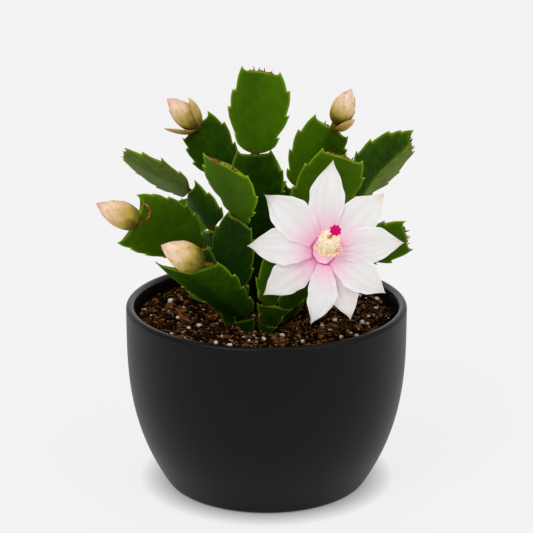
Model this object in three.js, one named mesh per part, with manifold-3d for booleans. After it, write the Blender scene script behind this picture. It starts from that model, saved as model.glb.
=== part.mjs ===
import * as THREE from "three";
import { mergeVertices } from "three/addons/utils/BufferGeometryUtils.js";
import Module from "manifold-3d";

// Potted Thanksgiving cactus: flat jointed stems, four buds and one open flower in a round pot of soil.
// Millimetres, +Z up, the front of the plant faces -Y, the origin is the centre of the pot's flat base.

const gap = 0.35; // clear space that touching pieces keep

const pot = {
  radius: 70, // outside, at the rim
  height: 93,
  wall: 4.2,
  floor: 6,
  flare: 20, // how much narrower the base is than the rim
  bellyTop: 81, // height where the side turns upright
  bellyPower: 2.7,
  edge: 1.2, // rounding of the bottom edge
  floorCorner: 3.5, // bevel between the floor and the inside wall
  sides: 40,
};
const wallHeights = [9, 20, 34, 50, 69]; // where the side of the pot bends

const soil = {
  level: 85.8,
  lump: 1, // height of the crumbs above and below the level
  clearance: 0.6, // to the inside of the pot
  rings: 6,
  sides: 32,
  perlite: 12, // how many grains
  grain: [1, 2.1], // least and greatest radius of a grain
  stemRoom: 10, // no grain lies nearer to a stem than this
  holeDepth: 6, // how deep the stems stand
  holeAbove: 9, // how far the cutter of a hole reaches out of the soil
  holeWidth: 3, // half width of the mouth of a hole, for a stem of no girth
  holePerGirth: 5.5,
  holeDeep: 2.5, // half depth of the mouth, front to back
  holeTaper: 0.45,
  holeSides: 10,
};

// The flat stem segment: a thin leaf-like blade with a thicker middle and a narrow foot.
const blade = {
  footWidth: 1.5, // half width where it stands on its parent
  footThickness: 0.6, // half thickness there
  spine: 1.1, // half thickness along the midrib
  between: 0.85, // half thickness halfway to the margin
  margin: 0.35, // half thickness at the margin
  bite: 1.8, // depth of the notch above a tooth
  sag: 0.6, // how far the end edge dips between the midrib and a horn
  rowStep: 0.7, // least distance between two rows on the midrib
  swell: 0.08, // how fast the blade thickens away from its foot
};

// The margin of a segment with no teeth of its own: shares of the length, and widths in millimetres.
const usualTeeth = [[0.3, 13], [0.66, 15], [1.01, 9]];

const tones = { bright: 0x6a9a26, fresh: 0x4d8220, middle: 0x3a6b1e, deep: 0x23501a, grey: 0x40602f };

// Each segment grows from the end of another, or from a root point in the soil.
// tilt leans it to the right, toward leans it to the front and turn spins its face, in degrees.
// A tooth is [distance along the midrib, distance out from it, depth of its notch]. The last is the horn.
const segments = {
  front_left_segment_1: {
    root: [-8.5, -25.5, 84.5], tilt: -14, toward: 7, turn: -3, length: 8, girth: 0.62, tone: "deep",
    left: [[8.2, 5.2]], right: [[8.1, 4.6]],
  },
  front_left_segment_2: {
    on: "front_left_segment_1", tilt: -37, toward: 31, turn: -15,
    length: 45, fold: 12, bend: 5, twist: -17,
    left: [[3, 4, 0.6], [19.5, 11.5], [34.5, 15], [56, 16.5]],
    right: [[11.5, 10.5], [21.5, 13], [34, 15.5], [50, 15.5]],
    tone: "middle",
  },
  front_middle_segment_1: {
    root: [-13, -14.5, 85], tilt: -3, toward: 8, turn: -20, length: 14, girth: 0.4, tone: "deep",
  },
  front_middle_segment_2: {
    on: "front_middle_segment_1", tilt: 1, toward: 11, turn: -32,
    length: 43.5, fold: -6, bend: -2, twist: -18,
    left: [[9, 11.5], [23, 18.5], [35.5, 15.5], [45.5, 8]],
    right: [[10.5, 6.5], [21.5, 10.5], [34, 11.5], [43.5, 9.5]],
    tone: "deep",
  },
  front_middle_segment_3: {
    on: "front_middle_segment_2", tilt: -10, toward: 38, turn: -48,
    length: 42, fold: -5, bend: -2, twist: 5,
    left: [[8.5, 10.5], [19, 15.5], [33, 16], [43.5, 13.5]],
    right: [[7, 8.5], [16.5, 13.5], [32, 17.5], [44, 12.5]],
    tone: "bright",
  },
  centre_segment_1: {
    root: [-4, 2, 85.5], tilt: -1, toward: 1,
    length: 39.5, girth: 0.85, tone: "deep",
  },
  centre_segment_2: {
    on: "centre_segment_1", tilt: -1, toward: 6, turn: 6, length: 44, fold: 11, bend: -2,
    left: [[8.5, 10], [22.5, 15], [34, 14], [46.5, 8.5]],
    right: [[8.5, 10], [23.5, 15], [34.5, 14], [45.5, 8]],
    tone: "deep",
  },
  centre_segment_3: {
    on: "centre_segment_2", tilt: 4, toward: -5, turn: -7, length: 40, bend: 3, twist: -3,
    left: [[8.5, 11, 0.4], [21.5, 15.5], [30, 13.5], [42, 9.5]],
    right: [[8.5, 11.5], [19.5, 15.5], [31.5, 15], [40.5, 9.5]],
    tone: "fresh",
  },
  tall_left_segment_1: { root: [-6, 12, 86], tilt: -6, toward: 4, length: 36.5, tone: "deep" },
  tall_left_segment_2: {
    on: "tall_left_segment_1", tilt: -12, toward: 5, turn: 62, length: 31, girth: 0.55, tone: "deep",
  },
  tall_left_segment_3: {
    on: "tall_left_segment_2", tilt: -35, toward: -10, turn: -12,
    length: 32, fold: 6, bend: -1, twist: 2,
    left: [[7.5, 10], [18, 13.5], [25.5, 12], [31, 10]],
    right: [[6, 9], [15, 12], [26, 13], [35, 9]],
    tone: "middle",
  },
  left_segment_1: {
    root: [-17.5, -18, 84.5], tilt: -9, toward: -2, turn: -5,
    length: 11.5, girth: 0.5, fold: 9, tone: "middle",
    left: [[12, 4.5]], right: [[12, 4.5]],
  },
  left_upper_segment_1: {
    root: [-16, -3.5, 87], tilt: -13, toward: -4, turn: -18,
    length: 45.5, fold: 13, bend: 9, twist: -22,
    left: [[12, 10], [26, 14.5], [39, 14.5], [45.2, 5.4]],
    right: [[12, 10], [26, 14.5], [37, 11], [45, 5]],
    tone: "deep",
  },
  left_upper_segment_2: {
    on: "left_upper_segment_1", side: 1.5, tilt: -36, toward: -17, turn: -40,
    length: 21, fold: 7, bend: -5, twist: -9,
    left: [[9.5, 5], [15, 10], [19.5, 9.5]],
    right: [[5.5, 14], [15, 12.5], [24, 8.5]],
    tone: "deep",
  },
  left_upper_segment_3: {
    on: "left_upper_segment_2", tilt: -69, toward: -11, turn: -48,
    length: 36.5, fold: 6, bend: -11, twist: -6,
    left: [[8.5, 13.5], [18.5, 18], [31, 15.5], [38.5, 8]],
    right: [[7, 12], [17, 17], [27.5, 13.5], [37, 8]],
    tone: "grey",
  },
  left_segment_2: {
    on: "left_segment_1", side: -1, tilt: -22, toward: 1, turn: -15,
    length: 31.5, girth: 0.45, tone: "deep",
  },
  left_segment_3: {
    on: "left_segment_2", tilt: -53, toward: 23, turn: -5, length: 39, fold: 7, bend: 17, twist: 16,
    left: [[4, 7.5, 0.4], [11.5, 14], [22, 16], [33.5, 15], [44.5, 12.5]],
    right: [[3.5, 7, 0.4], [13, 14], [19.5, 16], [30.5, 15.5], [46.5, 12]],
    tone: "middle",
  },
  front_right_segment_1: {
    root: [-1.3, -26, 84.5], tilt: 18, toward: 7, turn: -5, length: 5.2, girth: 0.66, tone: "deep",
    left: [[6.3, 5.2]], right: [[6.4, 4.9]],
  },
  front_right_segment_2: {
    on: "front_right_segment_1", tilt: 20, toward: 5, turn: 22, length: 10.6, fold: -1, tone: "deep",
    left: [[5, 7, 0.6], [11.1, 10]], right: [[5.6, 6.6, 0.8], [11.1, 9.5]],
  },
  front_right_segment_3: {
    on: "front_right_segment_2", side: -5, tilt: 25, toward: -9, turn: 21, length: 37, fold: 5,
    left: [[4, 6.5, 0.4], [10.5, 11], [24.5, 11.5], [38, 8]],
    right: [[8, 6.5], [18, 12], [29, 12.5], [38, 8]],
    tone: "fresh",
  },
  front_right_segment_4: {
    on: "front_right_segment_3", tilt: 25, toward: 1, turn: 19,
    length: 45.5, fold: 3, bend: 14, twist: 3,
    left: [[9, 10.5], [22.5, 15], [35.5, 15], [46.5, 11.5]],
    right: [[11, 13], [27.5, 19], [38, 17.5], [46.5, 11]],
    tone: "fresh",
  },
  flower_segment: {
    on: "front_right_segment_2", side: 5, tilt: 31, toward: 9, turn: 25,
    length: 34.5, fold: 4, bend: 3, twist: 4,
    left: [[6, 6, 0.4], [14, 11.5], [25, 12], [36, 8]],
    right: [[7, 7.5, 0.4], [15, 12], [26, 12], [36, 8]],
    tone: "middle",
  },
  tall_right_segment_1: {
    root: [10, 10, 86], tilt: 6, toward: 12,
    length: 39, girth: 0.75, tone: "deep",
  },
  tall_right_segment_2: {
    on: "tall_right_segment_1", tilt: 4, toward: -4, turn: -18,
    length: 25.5, fold: 10, bend: 2, twist: -7,
    left: [[8, 9.5], [17, 12], [27, 7.5]],
    right: [[8, 9.5], [17, 12], [26.5, 7.5]],
    tone: "deep",
  },
  tall_right_segment_3: {
    on: "tall_right_segment_2", tilt: 25, toward: 12, turn: 7, length: 37, fold: 4, bend: 4, twist: -10,
    left: [[7, 9.5], [17, 13], [28, 13.5], [39.5, 9.5]],
    right: [[7, 9.5], [18, 13.5], [29.5, 12.5], [36.5, 9.5]],
    tone: "middle",
  },
  far_right_segment_1: {
    root: [9, -10, 86], tilt: 33, toward: 3, turn: 34, length: 45, fold: 13, bend: 4, twist: 4,
    left: [[8.5, 8.5], [22.5, 12.5], [34.5, 11.5], [46.5, 7.5]],
    right: [[11.5, 3.5, 0.4], [23, 10.5], [34.5, 11.5], [45.3, 6.5]],
    tone: "deep",
  },
  far_right_lower_segment_2: {
    on: "far_right_segment_1", side: 3, tilt: 77, toward: 1, turn: 16,
    length: 32.5, fold: 5, bend: -1, twist: 2,
    left: [[8, 4.5, 0.4], [15, 10], [24, 11.5], [34, 8.5]],
    right: [[9, 8.5], [15.5, 13.5], [23, 14.5], [34.5, 9]],
    tone: "middle",
  },
  far_right_upper_segment_2: {
    on: "far_right_segment_1", side: -4, tilt: 29, toward: -8, length: 22, girth: 0.45, tone: "deep",
  },
  far_right_upper_segment_3: {
    on: "far_right_upper_segment_2", tilt: 36, toward: -30, turn: 45,
    length: 42.5, fold: 14, bend: 22, twist: -6,
    left: [[6, 9, 0.4], [19.5, 19.5], [28.5, 17.5], [38, 13], [47.5, 4.5]],
    right: [[6, 7, 0.4], [13.5, 9.5], [23.5, 15], [31.5, 15.5], [43, 9]],
    tone: "grey",
  },
  back_middle_segment_1: {
    root: [-1, 23, 87], tilt: -8, toward: -26, turn: 8,
    length: 40, tone: "middle",
  },
  back_middle_segment_2: {
    on: "back_middle_segment_1", tilt: 5, toward: -45, turn: -10, length: 38, bend: -8, tone: "fresh",
  },
  back_right_segment_1: {
    root: [16, 21, 87], tilt: 22, toward: -22, turn: -15,
    length: 39, tone: "middle",
  },
  back_right_segment_2: {
    on: "back_right_segment_1", tilt: 32, toward: -40, turn: -12, length: 36, bend: -8, tone: "middle",
  },
  back_left_segment_1: {
    root: [-24, 17, 87.5], tilt: -25, toward: -28, turn: 20,
    length: 35, tone: "middle",
  },
  back_left_segment_2: {
    on: "back_left_segment_1", tilt: -38, toward: -62, turn: 12, length: 32, bend: -6, tone: "fresh",
  },
  back_side_segment_1: {
    root: [26, 10, 88], tilt: 35, toward: -24, turn: -20, length: 36, girth: 0.85, tone: "middle",
  },
};

// A bud leans like a segment. girth is its greatest radius and stalk the length of its green foot.
// Its scales: the angle round it, the reach against its girth and the rise against its length.
const buds = {
  upper_left_bud: {
    on: "tall_left_segment_3", side: 0, tilt: -45, toward: 6, length: 19.2, girth: 5.5, stalk: 0.6,
    scales: [[185, 1.75, 0.42], [355, 1.65, 0.66]],
  },
  upper_right_bud: {
    on: "tall_right_segment_3", side: 2, tilt: 21, toward: 5, length: 21.5, girth: 5.4, stalk: 1.5,
    scales: [[310, 1.75, 0.42], [120, 1.12, 0.6]],
  },
  left_bud: {
    on: "left_segment_3", side: -1.5, tilt: -62, toward: 8, length: 22, girth: 6.2, stalk: 0.7,
    scales: [[100, 1.7, 0.45], [285, 1.08, 0.6], [180, 1.06, 0.5]],
  },
  lower_left_bud: {
    on: "front_left_segment_2", side: 12, tilt: -65, toward: 10, length: 26, girth: 6.6, stalk: 4,
    scales: [[60, 1.06, 0.55], [170, 1.06, 0.6], [285, 1.08, 0.7]],
  },
};
const bud = {
  sides: 8,
  foot: 1.5, // radius of the stalk
  flare: 0.6, // length of the step from the stalk to the body
  scaleStart: 0.35, // where a scale starts and how wide it is, against the girth
  scaleWidth: 1.3,
  // radius against the girth, at shares of the length above the stalk
  profile: [
    [0, 0.48], [0.06, 0.7], [0.18, 0.91], [0.36, 1],
    [0.55, 0.93], [0.74, 0.67], [0.9, 0.32], [1, 0.05],
  ],
};

const flower = {
  on: "flower_segment",
  centre: [26.3, -52, 135.3], // middle of the throat
  pitch: 15, // the throat looks up by this much, in degrees
  throat: [5.4, 6.3], // half width and half height inside
  wall: 0.9,
  tubeSides: 14,
  floorShare: 0.45, // the throat is hollow from this share of the tube's length
  tubeAhead: 7, // how far the tube runs straight out of its segment
  tubeBehind: 11, // and straight behind the throat
};

// Every petal: its shares of length and width, and how it lifts out of the throat, hollows and bends back.
const petal = {
  rows: 6,
  halfThickness: 0.35,
  root: 0.4, // how far outside the throat it starts
  widest: 0.46,
  footWidth: 0.56, // width at its foot against the greatest
  lift: 2.8,
  droop: 5.5,
  trough: 0.9,
  wave: 0.4,
};

// The short scales on the tube, all at one share of its length.
const smallTepals = { angles: [30, 125, 215, 305], at: 0.27, start: 2.6, reach: 9, rise: 8.5, width: 7.5 };

// Radius of the green ovary and the tube behind the flower, at shares of the way from the segment.
const tubeProfile = [[0, 1.7], [0.06, 3], [0.17, 3.6], [0.3, 3.3], [0.45, 3.6], [0.62, 4.2], [0.8, 5]];

// The petals: angle from the right-hand side, reach from the centre, width, how far back each is layered
// and how many degrees its tip turns away from its base.
const petals = [
  { angle: 84, reach: 42.5, width: 16.5, back: 0.5, sweep: -4 },
  { angle: 43, reach: 39, width: 18, back: 0.9, sweep: 0 },
  { angle: 5, reach: 38, width: 17, back: 0.3, sweep: -3 },
  { angle: -35, reach: 35.5, width: 16, back: 0, sweep: 0 },
  { angle: -69, reach: 35.5, width: 14, back: 2.4, sweep: -6 },
  { angle: -100, reach: 35.5, width: 13.5, back: 0.2, sweep: -10 },
  { angle: -143, reach: 35.5, width: 16, back: 2.2, sweep: 0 },
  { angle: 177, reach: 36, width: 17, back: 0.7, sweep: 3 },
  { angle: 137, reach: 38, width: 18, back: 0, sweep: 4 },
];

const stamens = {
  count: 13,
  radius: 0.35, // of a filament
  spread: 4.8, // radius of the cluster of anthers
  lowest: 4.5, // height of the anthers above the throat
  highest: 10,
  anther: 0.9,
  collar: { radius: 2, height: 1.4 }, // the ring at the floor of the throat that joins the filaments
};

const pistil = { radius: 0.5, tip: [5, 9.5, 17], lobes: 7, lobe: 1.05, lobeRing: 1.5 };

const rad = THREE.MathUtils.degToRad;
const vector = (x, y, z) => new THREE.Vector3(x, y, z);
const goldenAngle = Math.PI * (3 - Math.sqrt(5));

function seeded(seed) {
  let state = seed;
  return () => {
    state = (state * 1664525 + 1013904223) % 4294967296;
    return state / 4294967296;
  };
}

const library = await Module();
library.setup();

function toSolid(geometry) {
  const bare = new THREE.BufferGeometry().setAttribute("position", geometry.getAttribute("position"));
  bare.setIndex(geometry.index);
  const merged = mergeVertices(bare, 1e-4);
  return new library.Manifold(
    new library.Mesh({
      numProp: 3,
      vertProperties: new Float32Array(merged.attributes.position.array),
      triVerts: new Uint32Array(merged.index.array),
    }),
  );
}

function fromSolid(solid) {
  const mesh = solid.getMesh();
  const geometry = new THREE.BufferGeometry();
  geometry.setAttribute("position", new THREE.BufferAttribute(mesh.vertProperties, 3));
  geometry.setIndex(new THREE.BufferAttribute(mesh.triVerts, 1));
  return geometry;
}

const fuse = (geometries) => fromSolid(geometries.map(toSolid).reduce((sum, next) => sum.add(next)));

function meshOf(points, triangles) {
  const geometry = new THREE.BufferGeometry().setFromPoints(points);
  geometry.setIndex(triangles.flat());
  return geometry;
}

// A thin closed sheet between two grids of points of the same size, split alike on both faces.
function sheet(front, back) {
  const rows = front.length;
  const columns = front[0].length;
  const onFront = (row, column) => row * columns + column;
  const onBack = (row, column) => (rows + row) * columns + column;
  const triangles = [];
  for (let row = 0; row < rows - 1; row++)
    for (let column = 0; column < columns - 1; column++) {
      const cell = [[row, column], [row, column + 1], [row + 1, column + 1], [row + 1, column]];
      if (column < (columns - 1) / 2) cell.push(cell.shift());
      const [a, b, c, d] = cell.map((corner) => onFront(...corner));
      const [e, f, g, h] = cell.map((corner) => onBack(...corner));
      triangles.push([a, b, c], [a, c, d], [e, g, f], [e, h, g]);
    }
  const rim = [
    ...Array.from({ length: columns - 1 }, (_, i) => [0, i]),
    ...Array.from({ length: rows - 1 }, (_, i) => [i, columns - 1]),
    ...Array.from({ length: columns - 1 }, (_, i) => [rows - 1, columns - 1 - i]),
    ...Array.from({ length: rows - 1 }, (_, i) => [rows - 1 - i, 0]),
  ];
  rim.forEach((corner, i) => {
    const next = rim[(i + 1) % rim.length];
    const [a, b, c, d] = [onFront(...corner), onFront(...next), onBack(...next), onBack(...corner)];
    triangles.push([a, d, c], [a, c, b]);
  });
  return meshOf([...front.flat(), ...back.flat()], triangles);
}

// A closed body between rings of points: the first and the last ring are closed by a fan.
function loft(rings) {
  const sides = rings[0].length;
  const sumOf = (ring) => ring.reduce((sum, point) => sum.add(point), vector(0, 0, 0));
  const middleOf = (ring) => sumOf(ring).divideScalar(sides);
  const points = [...rings.flat(), middleOf(rings[0]), middleOf(rings.at(-1))];
  const [foot, head] = [points.length - 2, points.length - 1];
  const lastRing = (rings.length - 1) * sides;
  const triangles = [];
  for (let side = 0; side < sides; side++) {
    const next = (side + 1) % sides;
    for (let ring = 0; ring < lastRing; ring += sides) {
      const above = ring + sides;
      triangles.push([ring + side, ring + next, above + next], [ring + side, above + next, above + side]);
    }
    triangles.push([foot, next, side], [head, lastRing + side, lastRing + next]);
  }
  return meshOf(points, triangles);
}

function ringAround(centre, across, up, halfWidth, halfHeight, sides) {
  return Array.from({ length: sides }, (_, i) => {
    const angle = (i / sides) * 2 * Math.PI;
    return centre
      .clone()
      .addScaledVector(across, halfWidth * Math.cos(angle))
      .addScaledVector(up, halfHeight * Math.sin(angle));
  });
}

const flatRing = (height, radius, sides, x = 0, y = 0) =>
  ringAround(vector(x, y, height), vector(1, 0, 0), vector(0, 1, 0), radius, radius, sides);

// Pot

function bellyRadius(height) {
  const below = Math.max(0, 1 - height / pot.bellyTop);
  return pot.radius - pot.flare * below ** pot.bellyPower;
}

function potGeometry() {
  const lip = pot.wall / 2;
  const rimHeight = pot.height - lip;
  const outside = [...wallHeights, rimHeight].map((z) => [bellyRadius(z), z]);
  const rim = [30, 60, 90, 120, 150].map((angle) => [
    pot.radius - lip + lip * Math.cos(rad(angle)),
    rimHeight + lip * Math.sin(rad(angle)),
  ]);
  const inside = outside.map(([r, z]) => [r - pot.wall, z]).reverse();
  const profile = [
    [0, 0],
    [bellyRadius(0) - pot.edge, 0],
    [bellyRadius(0) + pot.edge * 0.4, pot.edge * 0.7],
    ...outside,
    ...rim,
    ...inside,
    [inside.at(-1)[0] - pot.floorCorner, pot.floor],
    [0, pot.floor],
  ].map(([r, z]) => new THREE.Vector2(r, z));
  const turned = new THREE.LatheGeometry(profile, pot.sides).rotateX(Math.PI / 2);
  turned.deleteAttribute("normal");
  turned.deleteAttribute("uv");
  return fromSolid(toSolid(turned));
}

// Stem segments

function frameOf({ tilt, toward, turn = 0 }) {
  return new THREE.Quaternion().setFromEuler(new THREE.Euler(rad(toward), rad(tilt), rad(turn), "YXZ"));
}

// The point of a blade that lies `along` its midrib, `out` to the right of it and `raise` behind it.
function bladePoint({ length, fold = 8, bend = 0, twist = 0 }, along, out, raise) {
  const lean = (rad(bend) * along) / length;
  const curl = rad(bend) / length;
  const straight = Math.abs(curl) < 1e-6;
  const arc = vector(0, (Math.cos(lean) - 1) / curl, Math.sin(lean) / curl);
  const middle = straight ? vector(0, 0, along) : arc;
  const spin = (rad(twist) * along) / length;
  const backward = vector(0, Math.cos(lean), Math.sin(lean));
  const across = vector(Math.cos(spin), 0, 0).addScaledVector(backward, Math.sin(spin));
  const behind = vector(-Math.sin(spin), 0, 0).addScaledVector(backward, Math.cos(spin));
  return middle
    .addScaledVector(across, out * Math.cos(rad(fold)))
    .addScaledVector(behind, Math.abs(out) * Math.sin(rad(fold)) + raise);
}

// One margin from the foot to the horn: a rounded shoulder, then a bulge, a tooth and a notch by turns.
function marginOf(teeth, root) {
  const points = root ? [[-soil.holeDepth, blade.footWidth], [0, blade.footWidth]] : [[0, blade.footWidth]];
  teeth.forEach(([along, out, bite = blade.bite], i) => {
    const [fromAlong, fromOut] = points.at(-1);
    const [rise, spread] = [along - fromAlong, out - fromOut];
    const bulges = i ? [[0.55, 0.07]] : [[0.2, 0.17], [0.6, 0.18]];
    for (const [share, swell] of bulges) {
      const climb = Math.max(0.12 * rise, share * rise - swell * spread);
      points.push([fromAlong + climb, fromOut + share * spread + swell * rise]);
    }
    points.push([along, out]);
    if (i < teeth.length - 1) points.push([along + 0.2, out - bite]);
  });
  return points;
}

function teethOn(form, side) {
  const { length, girth = 1 } = form;
  return form[side] ?? usualTeeth.map(([share, width]) => [share * length, width * girth]);
}

// How far up the end edge lies, `side` to the right of the midrib.
function endEdge(form, side) {
  const [hornAlong, hornOut] = teethOn(form, side < 0 ? "left" : "right").at(-1);
  const dip = [form.length + (hornAlong - form.length) / 4 - blade.sag, hornOut / 2];
  const out = Math.abs(side);
  if (out < dip[1]) return THREE.MathUtils.lerp(form.length, dip[0], out / dip[1]);
  return THREE.MathUtils.lerp(dip[0], hornAlong, (out - dip[1]) / dip[1]);
}

function segmentGeometry(form) {
  const left = marginOf(teethOn(form, "left"), form.root);
  const right = marginOf(teethOn(form, "right"), form.root);
  const last = left.length - 1;
  let spine = left[0][0];
  const grid = left.map(([leftAlong, leftOut], row) => {
    const [rightAlong, rightOut] = right[row];
    const room = form.length - blade.rowStep * (last - row);
    const level = Math.max(spine + blade.rowStep, (leftAlong + rightAlong) / 2);
    if (row > 0) spine = Math.min(room, level);
    if (form.root && row === 1) spine = 0;
    if (row === last) spine = form.length;
    const share = row === last ? 0.25 : 0.5;
    const dip = row === last ? blade.sag : 0;
    return [
      [leftAlong, -leftOut, blade.margin],
      [spine + (leftAlong - spine) * share - dip, -leftOut / 2, blade.between],
      [spine, 0, blade.spine],
      [spine + (rightAlong - spine) * share - dip, rightOut / 2, blade.between],
      [rightAlong, rightOut, blade.margin],
    ];
  });
  const face = (sign) =>
    grid.map((row) =>
      row.map(([along, out, half]) => {
        const thickness = Math.min(half, blade.footThickness + blade.swell * Math.max(0, along));
        return bladePoint(form, along, out, sign * thickness);
      }),
    );
  return sheet(face(-1), face(1));
}

// How far a foot reaches towards its parent, from how much its two cross directions point there.
const bladeFoot = (across, behind) => blade.footWidth * across + blade.footThickness * behind;
const roundFoot = (across, behind) => bud.foot * Math.hypot(across, behind);

// Where a piece stands on the end of its parent: clear of it by the gap, however it leans.
function seatOn(parent, frame, side = 0, footReach = bladeFoot) {
  const { form, position, rotation } = parent;
  const lean = rad(form.bend ?? 0);
  const ahead = vector(0, -Math.sin(lean), Math.cos(lean)).applyQuaternion(rotation);
  const across = vector(1, 0, 0).applyQuaternion(frame);
  const behind = vector(0, 1, 0).applyQuaternion(frame);
  const lift = gap + footReach(Math.abs(across.dot(ahead)), Math.abs(behind.dot(ahead)));
  // A foot that stands over the midrib stands on its tip.
  const peak = Math.abs(side) <= blade.footWidth ? form.length : 0;
  return bladePoint(form, Math.max(peak, endEdge(form, side)), side, 0)
    .applyQuaternion(rotation)
    .add(position)
    .addScaledVector(ahead, lift);
}

const grown = {};
for (const [name, form] of Object.entries(segments)) {
  const rotation = frameOf(form);
  const position = form.root ? vector(...form.root) : seatOn(grown[form.on], rotation, form.side);
  grown[name] = { form, rotation, position };
}

// Soil

function soilHeight(x, y) {
  const coarse = Math.sin(x * 0.31 + 1.3) * Math.sin(y * 0.27 + 0.4) + 0.6 * Math.sin(x * 0.13 - y * 0.17);
  const fine = Math.sin(x * 0.83 + y * 0.59) * Math.sin(y * 0.91 - x * 0.37);
  return soil.level + soil.lump * (0.45 * coarse + 0.4 * fine);
}

// Grains of perlite that lie half sunk in the soil, away from the stems.
function perliteGrains(reach) {
  const random = seeded(11);
  const roots = Object.values(segments).flatMap(({ root }) => (root ? [root] : []));
  const grains = [];
  while (grains.length < soil.perlite) {
    const [radius, angle] = [reach * Math.sqrt(random()), random() * 2 * Math.PI];
    const [x, y] = [radius * Math.cos(angle), radius * Math.sin(angle)];
    const size = THREE.MathUtils.lerp(...soil.grain, random());
    const turned = [random() * Math.PI, random() * Math.PI];
    const grain = new THREE.IcosahedronGeometry(size, 0).rotateX(turned[0]).rotateZ(turned[1]);
    const free = roots.every(([rootX, rootY]) => Math.hypot(rootX - x, rootY - y) > soil.stemRoom);
    if (free) grains.push(grain.translate(x, y, soilHeight(x, y) + size / 4));
  }
  return grains;
}

// A plain tapered hole round the buried foot of a segment.
function stemHole({ form, position, rotation }) {
  const depth = soil.holeDepth + gap + soil.holeAbove;
  const halfWidth = soil.holeWidth + soil.holePerGirth * (form.girth ?? 1);
  return new THREE.CylinderGeometry(1, soil.holeTaper, depth, soil.holeSides)
    .rotateX(Math.PI / 2)
    .scale(halfWidth, soil.holeDeep, 1)
    .translate(0, gap, soil.holeAbove - depth / 2)
    .applyQuaternion(rotation)
    .translate(...position);
}

function soilGeometry() {
  const ringOf = (radius, height) => flatRing(height, radius, soil.sides);
  const ringOnTop = (radius) => ringOf(radius, 0).map((point) => point.setZ(soilHeight(point.x, point.y)));
  const inside = (z) => bellyRadius(z) - pot.wall - soil.clearance;
  const [lowest, ...higher] = wallHeights;
  const reach = inside(soil.level);
  const body = loft([
    ringOf(inside(lowest) - pot.floorCorner, pot.floor + gap),
    ringOf(inside(lowest), lowest + gap),
    ...higher.map((z) => ringOf(inside(z), z)),
    ...Array.from({ length: soil.rings }, (_, i) => ringOnTop((reach * (soil.rings - i)) / soil.rings)),
  ]);
  const planted = Object.values(grown).filter(({ form }) => form.root);
  const grains = perliteGrains(reach - 2 * soil.grain[1]);
  const filled = [body, ...grains].map(toSolid).reduce((sum, next) => sum.add(next));
  return fromSolid(planted.map(stemHole).map(toSolid).reduce((rest, hole) => rest.subtract(hole), filled));
}

// A pointed scale that starts `start` out from the axis, ends `reach` out and climbs `rise` along it.
function scaleGeometry(start, reach, rise, width) {
  const rows = 3;
  const face = (sign) =>
    Array.from({ length: rows + 1 }, (_, row) => {
      const share = row / rows;
      const halfWidth = (width / 2) * (0.6 + 1.6 * share * (1 - share)) * (1 - share ** 3) + 0.15;
      const out = start + (reach - start) * share ** 0.7;
      return [-1, 0, 1].map((side) => {
        const cup = side ? 0 : 0.2 * halfWidth;
        return vector(out + cup + sign * blade.margin, side * halfWidth, rise * share);
      });
    });
  return sheet(face(1), face(-1));
}

// Buds

function budGeometry({ length, girth, stalk, scales }) {
  const foot = stalk + bud.flare;
  const body = loft([
    flatRing(0, bud.foot, bud.sides),
    flatRing(stalk, bud.foot * 1.2, bud.sides),
    ...bud.profile.map(([share, radius]) => {
      return flatRing(foot + share * (length - foot), radius * girth, bud.sides);
    }),
  ]);
  const around = scales.map(([angle, reach, rise]) =>
    scaleGeometry(girth * bud.scaleStart, girth * reach, (length - foot) * rise, girth * bud.scaleWidth)
      .rotateZ(rad(angle))
      .translate(0, 0, foot),
  );
  return fuse([body, ...around]);
}

// Flower. In its own frame +Z looks out of the throat, +X is to the right and +Y is up.

const flowerFrame = new THREE.Quaternion().setFromEuler(new THREE.Euler(rad(90 - flower.pitch), 0, 0));

const flowerTube = (() => {
  const parent = grown[flower.on];
  const intoFlower = flowerFrame.clone().invert();
  const seat = seatOn(parent, parent.rotation).sub(vector(...flower.centre)).applyQuaternion(intoFlower);
  const ahead = vector(0, 0, 1).applyQuaternion(parent.rotation).applyQuaternion(intoFlower);
  const early = seat.clone().addScaledVector(ahead, flower.tubeAhead);
  return new THREE.CubicBezierCurve3(seat, early, vector(0, 0, -flower.tubeBehind), vector(0, 0, 0));
})();

function tubeRing(share, halfWidth, halfHeight) {
  const along = flowerTube.getTangent(share);
  const across = vector(1, 0, 0).addScaledVector(along, -along.x).normalize();
  const up = along.clone().cross(across);
  return ringAround(flowerTube.getPoint(share), across, up, halfWidth, halfHeight, flower.tubeSides);
}

// A petal is widest near its middle and tapers to a point. It rises from the throat and bends back.
function petalGeometry({ angle, reach, width, back, sweep }) {
  const [halfAcross, halfUp] = flower.throat;
  const { rows, widest, footWidth } = petal;
  const rimRadius = 1 / Math.hypot(Math.cos(rad(angle)) / halfAcross, Math.sin(rad(angle)) / halfUp);
  const start = petal.root + rimRadius;
  const face = (sign) =>
    Array.from({ length: rows + 1 }, (_, row) => {
      const share = row / rows;
      const swelling = Math.sin((Math.min(1, share / widest) * Math.PI) / 2);
      const tapering = (1 - Math.max(0, (share - widest) / (1 - widest)) ** 1.5) ** 1.3;
      const halfWidth = (width / 2) * (footWidth + (1 - footWidth) * swelling) * tapering + 0.15;
      const height = petal.lift * Math.sin(share * 2.6) - petal.droop * share ** 2.2 - back;
      return [-1, -0.5, 0, 0.5, 1].map((side) => {
        const trough = petal.trough * side * side * (1 - share);
        const wave = petal.wave * Math.sin(share * 9 + side * 2 + angle) * Math.abs(side);
        const out = start + (reach - start) * share;
        const aside = out * rad(sweep) * (share ** 2 - 1);
        return vector(out, aside - side * halfWidth, height + trough + wave + sign * petal.halfThickness);
      });
    });
  return sheet(face(1), face(-1)).rotateZ(rad(angle));
}

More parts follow.
